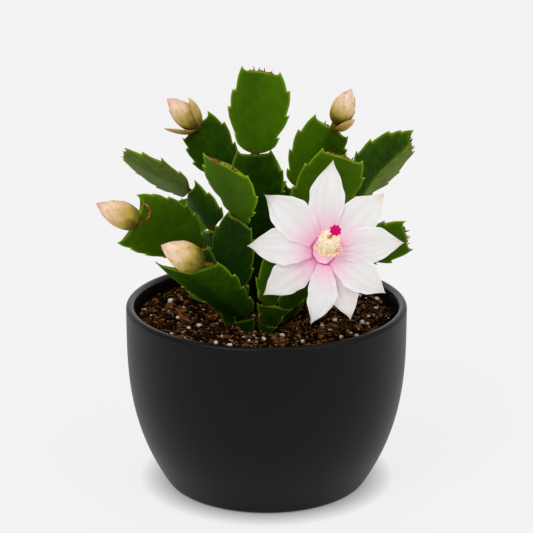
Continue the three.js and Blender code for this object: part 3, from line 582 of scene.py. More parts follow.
def bladeMesh(form):
    plump = form.get("plump", 1)
    rooted = "root" in form
    left, leftEnvelope, leftTips, leftNotches = marginLine(teethOn(form, "left"), rooted, plump)
    right, rightEnvelope, rightTips, rightNotches = marginLine(teethOn(form, "right"), rooted, plump)
    if len(left) != len(right):
        left, right = evened(left, right), evened(right, left)
    rows = len(left)
    length = form["length"]
    room = length - 0.05 * (rows - 1 - np.arange(rows))
    base = [side[:, 0] - side[:, 2] for side in (left, right)]
    spine = np.maximum.accumulate(np.minimum((base[0] + base[1]) / 2, room))
    spine[-1] = length
    u = np.sin(np.linspace(-1, 1, blade["columns"]) * math.pi / 2)[None, :]
    isLeft = u < 0
    edgeAlong, edgeOut, hook = (np.where(isLeft, left[:, k:k + 1], right[:, k:k + 1]) for k in range(3))
    size = np.abs(u)
    inset = (1 - size) * edgeOut
    rise = edgeAlong - hook - spine[:, None]
    level = spine[:, None] + rise * size + hook * np.exp(-inset / 0.6)
    ending = spine[:, None] + endShape(form, rise, size) + hook * np.exp(-inset / 0.7)
    last = np.clip((np.arange(rows) - (rows - 1 - blade["samples"])) / blade["samples"], 0, 1)
    last = last[:, None] ** 2
    along = level * (1 - last) + ending * last
    out = edgeOut * u
    width = np.where(isLeft, np.interp(along, leftEnvelope[:, 0], leftEnvelope[:, 1]),
                     np.interp(along, rightEnvelope[:, 0], rightEnvelope[:, 1]))
    part = np.clip(np.abs(out) / width, 0, 1)
    half = blade["margin"] + (blade["spine"] - blade["margin"]) * (1 - part ** 2) ** 1.2
    half = np.minimum(half, blade["footThickness"] + blade["swell"] * np.maximum(0, along))
    grow = np.clip(along / 6, 0, 1) * np.clip((length - along) / 6, 0, 1)
    half = half + blade["rib"] * grow * np.exp(-(out / 0.75) ** 2)
    seed = sum(ord(c) for c in form.get("on", "stem")) + length * 7
    wave = grow * blade["wave"] * np.sin(along * 0.21 + seed) * np.sin(out * 0.19 + seed * 0.7)
    wave += grow * blade["ripple"] * part ** 4 * np.sin(along * 0.62 + seed)
    front = bladePoints(form, along, out, wave - half)
    back = bladePoints(form, along, out, wave + half)
    points, faces, ring = closedSheet(front, back)

    fromEnd = np.where(along > length * 0.6, np.abs(along[-1:] - along), 99)
    tips = [(a, -o) for a, o in leftTips] + [(a, o) for a, o in rightTips]
    toTip = np.min([np.hypot(along - a, out - o) for a, o in tips], axis=0)
    climb = np.clip(along / length, 0, 1)
    shares = {
        "rim": np.exp(-(np.minimum(inset, fromEnd * 1.5) / 0.5) ** 1.3) * np.clip(along / 3, 0, 1),
        "rib": np.exp(-(out / 0.9) ** 2) * np.clip(along / 4, 0, 1) * form.get("line", 0),
        "tip": np.exp(-(toTip / 0.8) ** 2),
        "neck": np.exp(-np.maximum(along - 0.2, 0) ** 2 / 0.8) * ("on" in form),
        "sideways": out / 10,
        "lengthwise": along / 10 + seed,
        "vein": (along - 1.1 * np.abs(out)) / 10 + seed,
        # the tone also darkens towards the segment's base and lightens towards its margins
        "tone": shared(form["tone"], out) + 0.22 * part ** 2.5 - 0.06 + 0.16 * (climb - 0.5),
        "pale": shared(form.get("pale", 0), out) + 0 * along,
    }
    shares = {key: spread(values, ring) for key, values in shares.items()}
    return points, faces, shares, (leftNotches, rightNotches)


def evened(line, other):  # as many rows as the other side has
    if len(line) >= len(other):
        return line
    rows = np.linspace(0, len(line) - 1, len(other))
    fitted = np.stack([np.interp(rows, np.arange(len(line)), line[:, k]) for k in range(3)], -1)
    for i in range(1, len(line) - 1):
        if line[i, 2] > line[i - 1, 2] and line[i, 2] >= line[i + 1, 2]:  # the tip of a tooth stays sharp
            fitted[np.argmin(np.abs(rows - i))] = line[i]
    return fitted


stemSkin = {
    "deep": rgb(22, 51, 2), "fresh": rgb(72, 110, 6), "rim": rgb(124, 158, 26), "claw": rgb(200, 190, 90),
    "pale": rgb(112, 130, 60), "foot": rgb(74, 52, 20), "bloom": rgb(40, 74, 8), "roughness": (0.42, 0.56),
}


def makeStemSkin():
    material, paint, shader = newFinish("stem_skin", {"Specular IOR Level": 0.02})
    cloudy, blotchy, fine, speck = (grain(paint, scale, 3) for scale in (60, 240, 900, 2600))
    lengthwise = share(paint, "lengthwise")
    beside = combined(paint, X=share(paint, "sideways") * 9, Y=lengthwise * 0.9)
    aslant = combined(paint, X=share(paint, "vein") * 5, Y=lengthwise * 0.5)
    streaks, veins = grain(paint, 2, 3, where=beside), grain(paint, 2, 2, where=aslant)
    # the tone's green is partly the segment's own and partly painted shade and light
    tone = share(paint, "tone") + (cloudy - 0.5) * 0.55 + (blotchy - 0.5) * 0.4
    tone = tone + (fine - 0.5) * 0.25 + (streaks - 0.5) * 0.5
    colour = ramp(tone, [(0.0, stemSkin["deep"]), (1.0, stemSkin["fresh"])])
    colour = blendOf(paint, (speck - 0.45) * 0.5, colour, stemSkin["bloom"])
    colour = blendOf(paint, (veins - 0.5) * 0.2, colour, stemSkin["rim"])
    # pale grey-green streaks: partly a waxy bloom and partly a painted sheen of the studio light on faces
    # that turn up to it
    waxAndSheen = share(paint, "pale") * (cloudy * 0.4 + streaks * 2.1 + veins * 1.5 - 1.25)
    colour = blendOf(paint, waxAndSheen, colour, stemSkin["pale"])
    colour = blendOf(paint, share(paint, "rib") * 0.5, colour, stemSkin["rim"])
    rim = share(paint, "rim") * (share(paint, "tone") * 0.55 + 0.45)
    colour = blendOf(paint, rim, colour, stemSkin["rim"])
    colour = blendOf(paint, share(paint, "tip") * 0.7, colour, stemSkin["claw"])
    colour = blendOf(paint, share(paint, "neck") * 0.85, colour, stemSkin["foot"])
    paint.join(colour, shader.inputs["Base Color"])
    low, high = stemSkin["roughness"]
    paint.join(cloudy * (high - low) + low, shader.inputs["Roughness"])
    paint.join(relief(paint, blotchy * 0.6 + fine * 0.3 + speck * 0.15, 0.6, 0.4), shader.inputs["Normal"])
    return material


stemFinish = makeStemSkin()
areoles = []  # the notches, where a little wool grows: point, outward
ends = []  # the end edges: the segment and its own way of placing a point
for segmentName, (form, spot, turned) in grown.items():
    points, faces, shares, notches = bladeMesh(form)
    points = np.clip(settled(points, turned, spot), *limits)
    buildPiece(segmentName + "_blade", points, faces, stemFinish, shares, "stem_green", nodes=(segmentName,))

    def onBlade(along, out, form=form, turned=turned, spot=spot):
        return settled(bladePoints(form, along, out, 0)[None], turned, spot)[0]

    for sign, spots in zip((-1, 1), notches):
        for along, out in spots:
            here = onBlade(along, sign * (out + 0.05))
            areoles.append((here, onBlade(along + 0.9, sign * (out + 0.8)) - here))
    if form["length"] >= blade["shortestWithEnd"]:
        ends.append((form, onBlade))
print("stem segments:", len(grown))


# Wool and spines of the areoles

areole = {
    "wool": rgb(150, 100, 44), "dark": rgb(90, 50, 18), "spine": rgb(72, 30, 16), "pale": rgb(205, 165, 98),
    "length": 3.0, "radius": 0.42, "crust": 0.62,
}
remnant = {  # of a withered flower, on the face of left_segment_3 at its end edge
    "lift": (0.25, -0.3, 0), "samples": 24, "radius": ([0, 0.2, 0.6, 1], [0.35, 0.5, 0.75, 0.3]),
    "line": [(-59.2, -39.8, 154.3), (-58, -38.9, 154.7), (-56.3, -37.4, 153), (-55.4, -36.5, 150.3),
             (-55.9, -36.6, 147.9), (-57.3, -37.7, 146.5), (-58.3, -38.4, 146.4)],
}


def makeWool():
    material, paint, shader = newFinish("areole_wool", {"Roughness": 0.95, "Specular IOR Level": 0.1})
    stops = [(0.35, areole["dark"]), (0.55, areole["wool"]), (0.72, areole["pale"])]
    paint.join(ramp(grain(paint, 1100, 3), stops), shader.inputs["Base Color"])
    paint.join(relief(paint, grain(paint, 3000, 3), 0.4, 0.6), shader.inputs["Normal"])
    return material


def makeSpine():
    material, paint, shader = newFinish("areole_spine", {"Roughness": 0.55, "Specular IOR Level": 0.2})
    colour = blendOf(paint, grain(paint, 900), areole["spine"], areole["dark"])
    paint.join(colour, shader.inputs["Base Color"])
    return material


def endSpot(form, onBlade, offset):  # a point on the end edge and the way out of it there
    horn = teethOn(form, "left" if offset < 0 else "right")[-1]
    flat = horn[0] - hornHook(horn[0])
    edge = form["length"] + endShape(form, flat - form["length"], abs(offset))
    here = onBlade(edge, offset * horn[1])
    return here, Vector(onBlade(edge + 1, offset * horn[1] * 1.05) - here).normalized()


def addSpine(here, outward, reach, thick):
    lean = Vector([draw.uniform(-0.35, 0.35) for _ in range(3)])
    tip = Vector(here) + (outward + lean).normalized() * reach
    tip = Vector(np.clip(tip, *limits))
    line = [Vector(here) - outward * 0.3, (Vector(here) + tip) / 2 + lean * 0.25, tip]
    spines.add(*tubeBody(ringsAlong(line, [thick, thick * 0.7, 0.03], 6)))


draw = random.Random(4)
wool, spines = Pile(), Pile()
for here, outward in areoles:
    points, faces = pebble(areole["crust"] * draw.uniform(0.4, 0.7), draw, 0.4)
    wool.add(points + here, faces)
    if draw.random() < 0.4:
        reach = areole["length"] * draw.uniform(0.25, 0.45)
        addSpine(here, Vector(outward).normalized(), reach, areole["radius"] * 0.5)
for form, onBlade in ends:
    amount = form.get("crust", 0.15)
    centres = [draw.uniform(-0.55, 0.65) for _ in range(5)]
    for _ in range(int(6 + 80 * amount)):
        here, outward = endSpot(form, onBlade, draw.choice(centres) + draw.gauss(0, 0.07))
        points, faces = pebble(areole["crust"] * draw.uniform(0.4, 1) * (0.75 + 0.45 * amount), draw, 0.45)
        turned = Matrix.Rotation(draw.uniform(*anyTurn), 3, outward)
        place = here + np.array(outward) * draw.uniform(-0.3, 0.45)
        wool.add(settled(points * (1.3, 0.8, 0.9), turned, place), faces)
    count = form.get("spines", 1)
    for i in range(count):
        here, outward = endSpot(form, onBlade, -0.5 + 1.15 * (i + draw.uniform(0.3, 0.7)) / count)
        addSpine(here, outward, areole["length"] * draw.uniform(0.65, 1.05), areole["radius"])
for pile in (wool, spines):
    pile.points = [np.clip(points, *limits) for points in pile.points]
woolFinish = makeWool()
wool.build("areole_wool", woolFinish, "stem_green")
line = throughPoints(remnant["line"], remnant["samples"]) + remnant["lift"]
radii = np.interp(np.linspace(0, 1, remnant["samples"]), *remnant["radius"])
buildPiece("dried_curl", *tubeBody(ringsAlong(line, radii, 9)), woolFinish, {}, "stem_green")
spines.build("areole_spines", makeSpine(), "stem_green")
print("areoles:", len(areoles))


# Buds

budForms = {
    "upper_left_bud": dict(
        on="tall_left_segment_3", side=0, tilt=-45, toward=6, length=19.2, girth=5.5, stalk=0, thick=2.6,
        sink=1.8, open=[(208, 2.25, 0.6), (335, 1.66, 0.68)], first=0.4, paleAndLit=0.1),
    "upper_right_bud": dict(
        on="tall_right_segment_3", side=2, tilt=21, toward=5, length=21.5, girth=5.4, stalk=2.9, thick=2.4,
        sink=0.4, open=[(310, 1.75, 0.5)], first=1.3, openFoot=0.8, paleAndLit=0.09),
    "left_bud": dict(
        on="left_segment_3", side=-1.5, tilt=-62, toward=8, length=21.6, girth=6, stalk=0, thick=2.6,
        sink=1.2, open=[], first=2.0),
    "lower_left_bud": dict(
        on="front_left_segment_2", side=12, tilt=-65, toward=10, length=26, girth=6.6, stalk=4, thick=1,
        sink=0, open=[], first=0.9, bow=-1, paleAndLit=0.03),
}
budSkin = {
    "stops": [(0.0, rgb(64, 56, 4)), (0.1, rgb(88, 80, 6)), (0.2, rgb(122, 112, 16)),
              (0.3, rgb(178, 154, 62)), (0.42, rgb(220, 184, 120)), (0.62, rgb(246, 208, 164)),
              (0.84, rgb(252, 215, 192)), (1.0, rgb(226, 173, 148))],
    "edgeTanAndShade": rgb(196, 146, 92), "gloss": rgb(255, 238, 216), "foot": rgb(104, 88, 18), "tepals": 15,
    "thickness": 0.2, "sides": 28, "levels": 26,
    "profile": [(0, 0.48), (0.06, 0.7), (0.18, 0.91), (0.36, 1), (0.55, 0.93), (0.74, 0.67), (0.9, 0.32),
                (1, 0.04)],
}
budLine = throughPoints(budSkin["profile"], 60)


def budRadius(where, girth):
    return np.interp(where, budLine[:, 0], budLine[:, 1]) * girth


def tepalPatch(stop, centre, halfAngle, lift, girth, heightAt):  # a long pointed scale against the bud
    s, t = sheetGrid(20, 11)
    where = 0.02 + (stop - 0.02) * s + 0 * t
    swell = np.sin(np.clip(0.2 + 0.8 * s ** 0.9, 0, 1) * math.pi) ** 0.75
    angle = centre + t * halfAngle * swell
    radius = budRadius(where, girth) + lift * (0.5 + 0.5 * (1 - t ** 2) + 0.5 * s ** 2) - 0.02 * s ** 3
    inner = radius - budSkin["thickness"] * (1 - 0.4 * s)
    front, back = (levelRing(r, angle, heightAt(where)) for r in (radius, inner))
    points, faces, ring = closedSheet(front, back, 0.4)
    return points, faces, spread(where, ring), spread(np.abs(t) ** 7 * (1 - s) + s ** 12 + 0 * where, ring)


def openScale(angle, reach, rise, girth, bodyLength, foot):  # a small outer scale that stands away
    s, t = sheetGrid(16, 9)
    width = girth * 0.72 * np.sin(np.clip(s * 0.84 + 0.16, 0, 1) * math.pi) ** 0.7
    start = girth * 0.42
    out = start + (girth * reach - start) * s ** 0.75 - 0.16 * girth * (reach > 1.7) * np.sin(s * math.pi)
    up = rise * bodyLength * (s if reach < 1.7 else s ** 1.25)
    cup = width * 0.55 * (1 - t ** 2)
    front = np.stack([out + cup * 0.8 + 0 * t, t * width, up - cup * 0.35 + 0 * t], -1)
    back = front - np.array([budSkin["thickness"] * 1.4, 0, -0.1])
    points, faces, ring = closedSheet(front, back, 0.4)
    turned = Matrix.Rotation(math.radians(angle), 3, "Z")
    points = settled(points, turned, (0, 0, foot))
    return points, faces, spread(0.16 + 0.34 * s + 0 * t, ring), spread(np.abs(t) ** 6 + 0 * s, ring)


def makeBudSkin():
    material, paint, shader = newFinish("bud_skin", {
        "Specular IOR Level": 0.08, "Subsurface Weight": 0.1, "Subsurface Scale": 0.002,
        "Subsurface Radius": (1.0, 0.6, 0.35)})
    cloudy, streak = grain(paint, 170, 3), grain(paint, 620, 3)
    climb = share(paint, "climb") + (cloudy - 0.5) * 0.34 + share(paint, "tint") * 0.08
    colour = ramp(climb, budSkin["stops"])
    # painted highlight: pale cream streaks, stronger towards the top of the bud
    colour = blendOf(paint, (streak - 0.45) * 0.8 * share(paint, "climb"), colour, budSkin["gloss"])
    # darker tan along each tepal's sides and at its tip: partly the tepal's own edge colour and partly
    # painted shade where it overlaps the next
    colour = blendOf(paint, share(paint, "edge") * 0.6, colour, budSkin["edgeTanAndShade"])
    colour = blendOf(paint, share(paint, "stalk"), colour, budSkin["foot"])
    paint.join(colour, shader.inputs["Base Color"])
    paint.join(streak * 0.2 + 0.36, shader.inputs["Roughness"])
    paint.join(relief(paint, streak, 0.35, 0.3), shader.inputs["Normal"])
    return material


def budPile(form):
    girth, thick, foot = form["girth"], form["thick"], form["stalk"] + 0.6 - form["sink"]
    bodyLength = form["length"] - foot

    def heightAt(level):
        return foot + level * bodyLength

    pile = Pile()
    angles = anglesOf(budSkin["sides"])
    levels = np.linspace(0, 1, budSkin["levels"])
    rings = [levelRing(thick, angles, -0.5 - form["sink"]),
             levelRing(thick * 1.05, angles, max(0, form["stalk"] - 0.3))]
    for level in levels:
        ribbed = 1 + 0.015 * np.cos(angles * 5 + level * 4)
        radius = (budRadius(level, girth) - 0.2 * (1 - level)) * ribbed
        rings.append(levelRing(radius, angles, heightAt(level)))
    points, faces = tubeBody(rings)
    climb = np.concatenate([np.repeat([0, 0, *levels], len(angles)), [0, 1]])
    stalk = np.concatenate([np.repeat([1, 0.9, *([0] * len(levels))], len(angles)), [1, 0]])
    pile.add(points, faces, climb=climb, edge=0, stalk=stalk, tint=0)
    draw = random.Random(int(girth * 100))
    for k in range(budSkin["tepals"]):
        part = k / (budSkin["tepals"] - 1)
        stop, centre = 0.36 + 0.61 * part ** 0.8, form["first"] + k * goldenAngle
        points, faces, climb, edge = tepalPatch(
            stop, centre, 0.78 - 0.12 * part, 0.5 - 0.36 * part, girth, heightAt)
        # the inner tepals move towards the pale top colour by this amount: partly the bud's own colouring
        # and partly painted light where the bud lies in shade
        climb = climb * (0.72 + 0.28 * part) + form.get("paleAndLit", 0) * part
        pile.add(points, faces, climb=climb, edge=edge, stalk=0, tint=draw.uniform(-0.5, 0.5))
    for angle, reach, rise in form["open"]:
        points, faces, climb, edge = openScale(
            angle, reach, rise, girth, bodyLength, form.get("openFoot", foot))
        pile.add(points, faces, climb=climb, edge=edge, stalk=0, tint=0)
    for points in pile.points:  # the whole bud bows a little to one side
        climbed = np.clip(points[:, 2] / form["length"], 0, 1)
        points[:, 0] += form.get("bow", 0) * np.sin(math.pi * climbed ** 0.6)
    return pile


budFinish = makeBudSkin()
for budName, form in budForms.items():
    turned = turnOf(form)
    spot = seatOn(grown[form["on"]], turned, form["side"], footReach["round"])
    piece = budPile(form).build(budName + "_tepals", budFinish, "bud_skin", nodes=(budName,))
    piece.data.transform(Matrix.Translation(spot * millimetre) @ turned.to_4x4())
print("buds:", len(budForms))


# Flower. In its own frame +Z looks out of the throat, +X is to the right and +Y is up.

flower = {
    "centre": (26.9, -52, 135.7), "pitch": 15, "throat": (4.9, 5.9), "lobes": 0.075, "floorShare": 0.45,
    "tubeAhead": 7, "tubeBehind": 11, "tubeSides": 48,
    "rim": [(0.7, -1.4, 0.56), (0.75, -0.2, 0.62), (0.6, 0.65, 0.68), (0.3, 0.95, 0.7), (0.05, 0.75, 0.72),
            (-0.15, 0, 0.78), (-0.3, -1.2, 0.84), (-0.7, -2.4, 0.9), (-1.6, -3.4, 0.95), (-3, -3.9, 1)],
    "tube": [(0, 1.7), (0.06, 3), (0.17, 3.6), (0.3, 3.3), (0.45, 3.6), (0.62, 4.2), (0.8, 5)],
}
petal = {
    "root": 0.4, "widest": 0.46, "footWidth": 0.4, "lift": 2.8, "droop": 5.5, "trough": 0.9, "wave": 0.4,
    "pleat": 0.26, "finePleat": 0.07, "keel": 0.5, "ruffle": 0.42, "rows": 44, "columns": 23, "half": 0.24,
}
petals = [
    dict(angle=84, reach=42.5, width=16.5, back=0.5, sweep=-4),
    dict(angle=43, reach=39, width=18, back=0.9, sweep=0),
    dict(angle=5, reach=38, width=17, back=0.3, sweep=-3),
    dict(angle=-35, reach=35.5, width=16, back=0, sweep=0),
    dict(angle=-69, reach=35.5, width=14, back=2.4, sweep=-6, behind=1),
    dict(angle=-100, reach=35.5, width=13.5, back=0.2, sweep=-10),
    dict(angle=-143, reach=35.5, width=16, back=2.2, sweep=0, behind=1),
    dict(angle=177, reach=36, width=17, back=0.7, sweep=3),
    dict(angle=137, reach=38, width=18, back=0, sweep=4),
]
petalSkin = {
    "white": rgb(227, 224, 223), "pink": rgb(240, 152, 202), "deep": rgb(222, 50, 140),
    "tip": rgb(214, 190, 168), "shade": rgb(206, 199, 195), "behind": rgb(212, 190, 184),
    "margin": rgb(244, 242, 240), "glow": 0.14,
}

flowerTurn = Matrix.Rotation(math.radians(90 - flower["pitch"]), 3, "X")
flowerSpot = Vector(flower["centre"])
bearer = grown["flower_segment"]
intoFlower = flowerTurn.transposed()
tubeSeat = intoFlower @ (seatOn(bearer, bearer[2], 0, footReach["blade"]) - flowerSpot)
tubeAhead = intoFlower @ (bearer[2] @ Vector((0, 0, 1)))
tubeBends = tubeSeat + tubeAhead * flower["tubeAhead"], (0, 0, -flower["tubeBehind"])
tubeLine = (tubeSeat, *tubeBends, (0, 0, 0))


def tubePoint(t):
    return bezier(*tubeLine, t)


def petalMesh(form):
    halfAcross, halfUp = flower["throat"]
    angle = math.radians(form["angle"])
    start = petal["root"] + 1 / math.hypot(math.cos(angle) / halfAcross, math.sin(angle) / halfUp)
    s, t = sheetGrid(petal["rows"], petal["columns"])
    swelling = np.sin(np.minimum(1, s / petal["widest"]) * math.pi / 2)
    tapering = (1 - np.maximum(0, (s - petal["widest"]) / (1 - petal["widest"])) ** 2.3) ** 1.5
    width = form["width"] / 2 * (petal["footWidth"] + (1 - petal["footWidth"]) * swelling) * tapering + 0.1
    uneven = 0.03 * np.sin(s * 17 + form["angle"] * 2 + np.sign(t) * 1.3)
    width = width * (1 + 0.02 * np.sin(s * 31 + form["angle"]) + uneven)
    height = petal["lift"] * np.sin(s * 2.6) - petal["droop"] * s ** 2.2 - form["back"]
    trough = petal["trough"] * t * t * (1 - s)
    wave = petal["wave"] * np.sin(s * 9 + t * 2 + form["angle"]) * np.abs(t)
    pleats = petal["pleat"] * np.cos(t * 9.4 + form["angle"])
    pleats = pleats + petal["finePleat"] * np.cos(t * 21 + form["angle"] * 2 + s * 3)
    pleats = pleats * np.sin(np.clip(s * 1.1, 0, 1) * math.pi)
    keel = -petal["keel"] * np.exp(-(t / 0.16) ** 2) * (1 - s) * s * 2
    ruffle = petal["ruffle"] * np.abs(t) ** 3 * np.sin(s * 24 + form["angle"] * 3 + np.sign(t))
    out = start + (form["reach"] - start) * s + 0 * t
    aside = out * math.radians(form["sweep"]) * (s ** 2 - 1) - t * width
    level = height + trough + wave + pleats + keel + ruffle
    half = petal["half"] * (1 - 0.5 * np.abs(t)) + 0 * s
    front = np.stack([out, aside, level + half], -1)
    back = np.stack([out, aside, level - half], -1)
    points, faces, ring = closedSheet(front, back, 0.5)
    points = settled(points, Matrix.Rotation(angle, 3, "Z"), (0, 0, 0))
    shares = {"climb": s, "across": t, "number": form["angle"] * 0.01, "margin": np.abs(t) ** 16,
              "behind": form.get("behind", 0)}
    return points, faces, {key: spread(values + 0 * s * t, ring) for key, values in shares.items()}


def makePetalSkin():
    material, paint, shader = newFinish("petal_skin", {
        "Specular IOR Level": 0.35, "Roughness": 0.5, "Subsurface Weight": 0.15, "Subsurface Scale": 0.003,
        "Subsurface Radius": (1.0, 0.7, 0.7), "Sheen Weight": 0.1, "Emission Strength": petalSkin["glow"]})
    climb, across, number = (share(paint, name) for name in ("climb", "across", "number"))
    where = combined(paint, X=climb + number * 9, Y=across * 2.6, Z=number * 5)
    streaks, cloudy = grain(paint, 1.7, 2, 0.45, where), grain(paint, 90, 3)
    shadows = ramp(streaks, [(0.45, 0.0), (0.8, 0.5)])
    colour = blendOf(paint, shadows, petalSkin["white"], petalSkin["shade"])
    blurred = climb + (streaks - 0.5) * 0.24 + (cloudy - 0.5) * 0.12
    pinkness = ramp(blurred, [(0.0, 1.0), (0.1, 0.74), (0.26, 0.3), (0.5, 0.0)])
    # painted shade: petals that lie behind others turn beige-pink towards their bases
    colour = blendOf(paint, share(paint, "behind") * (1 - climb) * 0.6, colour, petalSkin["behind"])
    # a painted highlight along each petal's edge
    colour = blendOf(paint, share(paint, "margin") * 0.7, colour, petalSkin["margin"])
    colour = blendOf(paint, pinkness * 0.78, colour, petalSkin["pink"])
    colour = blendOf(paint, ramp(climb, [(0.82, 0.0), (1.0, 0.75)]), colour, petalSkin["tip"])
    colour = blendOf(paint, ramp(climb, [(0.0, 0.8), (0.035, 0.0)]), colour, petalSkin["deep"])
    paint.join(colour, shader.inputs["Base Color"])
    paint.join(colour, shader.inputs["Emission Color"])  # painted light: the petals glow in their own colour, for light that comes through them from behind and to lift the shade between them
    paint.join(relief(paint, streaks, 1.0, 0.4), shader.inputs["Normal"])
    return material


def setInFlower(piece):
    piece.data.transform(Matrix.Translation(flowerSpot * millimetre) @ flowerTurn.to_4x4())


blossom = Pile()
for form in petals:
    points, faces, shares = petalMesh(form)
    blossom.add(points, faces, **shares)
setInFlower(blossom.build("flower_petals", makePetalSkin(), "petals", nodes=("flower_corolla",)))
print("petals:", len(petals))


tubeSkin = {
    "stops": [(0.0, rgb(96, 120, 46)), (0.14, rgb(142, 150, 74)), (0.3, rgb(226, 208, 186)),
              (0.48, rgb(240, 224, 226)), (0.64, rgb(236, 160, 206)), (0.67, rgb(214, 22, 132)),
              (0.7, rgb(214, 22, 132)), (0.722, rgb(232, 190, 220)), (0.84, rgb(236, 208, 228)),
              (1.0, rgb(226, 190, 214))],
    "streak": rgb(226, 150, 200), "glow": 0.28,
}


def throatRing(grow, height):
    angles = anglesOf(flower["tubeSides"])
    scallop = 1 + flower["lobes"] * np.abs(np.cos(angles * 4.5 + 0.4 * np.sin(angles * 2)))
    across, up = ((reach + grow) * scallop for reach in flower["throat"])
    return np.stack([across * np.cos(angles), up * np.sin(angles), 0 * angles + height], -1)


def makeTubeSkin():
    material, paint, shader = newFinish("tube_skin", {
        "Roughness": 0.5, "Subsurface Weight": 0.1, "Subsurface Scale": 0.002,
        "Emission Strength": tubeSkin["glow"]})
    climb, around = share(paint, "climb"), share(paint, "around")
    streaks = grain(paint, 1.6, 3, where=combined(paint, X=around * 22, Y=climb * 1.2))
    streaks = ramp(streaks, [(0.46, 0.0), (0.66, 0.4)])
    colour = blendOf(paint, streaks, ramp(climb, tubeSkin["stops"]), tubeSkin["streak"])
    paint.join(colour, shader.inputs["Base Color"])
    inside = ramp(climb, [(0.72, 0.0), (0.78, 1.0)])  # painted light: the inner cup glows, for light through its thin wall and to lift the shade of the stamens in it
    paint.join(blendOf(paint, inside, (0, 0, 0, 1), colour), shader.inputs["Emission Color"])
    return material


def tubeMesh():
    sides = flower["tubeSides"]
    rings, climbs = [], []
    centres = tubePoint(np.linspace(0, 1, 41))
    for part, radius in throughPoints(flower["tube"], 26):
        i = min(max(int(round(part * 40)), 1), 39)
        along = Vector(centres[i + 1] - centres[i - 1]).normalized()
        rings.append(ringAround(tubePoint([part])[0], along, radius, sides))
        climbs.append(part * 0.6)
    for grow, height, climb in flower["rim"]:
        rings.append(throatRing(grow, height))
        climbs.append(climb)
    points, faces = tubeBody(rings)
    climb = np.concatenate([np.repeat(climbs, sides), [0, 1]])
    turn = np.linspace(0, 1, sides, endpoint=False)
    around = np.concatenate([np.tile(np.abs(turn - 0.5) * 2, len(rings)), [0, 0]])
    return points, faces, {"climb": climb, "around": around}


tubeFinish = makeTubeSkin()
points, faces, shares = tubeMesh()
setInFlower(buildPiece("flower_tube", points, faces, tubeFinish, shares, "petals"))

smallTepals = {
    "angles": (30, 75, 125, 170, 215, 260, 305, 345), "at": 0.27, "start": 2.6, "reach": 9, "rise": 8.5,
    "width": 7.5,
}


def smallTepalPile():
    pile = Pile()
    before, spot, after = tubePoint(smallTepals["at"] + np.array([-0.02, 0, 0.02]))
    lean = Vector((0, 0, 1)).rotation_difference(Vector(after - before).normalized()).to_matrix()
    s, t = sheetGrid(16, 9)
    for i, angle in enumerate(smallTepals["angles"]):
        scale = 1 if i % 2 else 0.8
        width = smallTepals["width"] / 2 * scale * np.sin(np.clip(s * 0.82 + 0.18, 0, 1) * math.pi) ** 0.7
        out = smallTepals["start"] + (smallTepals["reach"] - smallTepals["start"]) * s ** 1.3 * scale
        up = smallTepals["rise"] * scale * s
        cup = 0.3 * width * (1 - t ** 2)
        front = np.stack([out + cup, t * width, up + 0 * t], -1)
        back = front - np.array([0.35, 0, -0.1])
        points, faces, ring = closedSheet(front, back, 0.4)
        points = settled(points, lean @ Matrix.Rotation(math.radians(angle), 3, "Z"), spot)
        climb = spread(0.1 + 0.38 * s + 0 * t, ring)
        pile.add(points, faces, climb=climb, around=spread(t * 0.2 + 0 * s, ring))
    return pile


setInFlower(smallTepalPile().build("flower_small_tepals", tubeFinish, "petals"))

stamen = {
    "count": 104, "hanging": 14, "samples": 12, "radius": 0.24, "anther": 0.64, "spread": 5.1, "lowest": 2.6,
    "highest": 11.4, "centre": (2.1, 4.3), "hole": (2.3, 6.3), "holeRadius": 1.25,
    "hangingReach": (5.9, 7.3), "hangingHeight": (5, 8.5), "stretch": 1.35, "hangingStretch": 1.8,
    "core": [(-2, 1.6), (1, 2.4), (3.5, 3.6), (6, 4.1), (8.2, 3.4), (9.2, 1.6)],
    "filament": rgb(250, 238, 212), "dim": rgb(228, 200, 142), "cream": rgb(255, 250, 232),
    "yellow": rgb(240, 208, 134), "heart": rgb(214, 124, 48),
}
style = {
    "radius": 0.5, "bends": [(0, 0, -5), (1.4, 5.5, 6)], "tip": (4.8, 9.7, 17), "samples": 24, "ring": 1.7,
    "rings": [(1, 1, 0, 8), (0.5, 0.8, 0.45, 5), (0.1, 0.7, 0.55, 1)],  # reach, size, rise and count
    "colour": rgb(206, 20, 110), "sheen": rgb(232, 90, 160), "stigma": rgb(206, 2, 96),
    "bright": rgb(222, 10, 116), "middle": rgb(160, 0, 66),
}

floorPoint = tubePoint([flower["floorShare"]])[0]
floorAhead = Vector(tubePoint([flower["floorShare"] + 0.02])[0] - floorPoint).normalized()
styleFoot = floorPoint + np.array(floorAhead) * gap
styleTip = style["tip"]
styleLine = (styleFoot, *style["bends"], styleTip)


def makeSimple(name, colour, other, roughness, glow=0.0):  # the glow is painted light, for light scattered in fine threads and to lift the shade in their dense mass
    material, paint, shader = newFinish(name, {
        "Roughness": roughness, "Specular IOR Level": 0.08, "Emission Color": colour,
        "Emission Strength": glow})
    mottled = ramp(grain(paint, 900, 3), [(0.35, 0.0), (0.65, 1.0)])
    paint.join(blendOf(paint, mottled, colour, other), shader.inputs["Base Color"])
    return material


def styleShare(height):  # how far up the style a height lies
    return (height - styleFoot[2]) / (styleTip[2] - styleFoot[2])


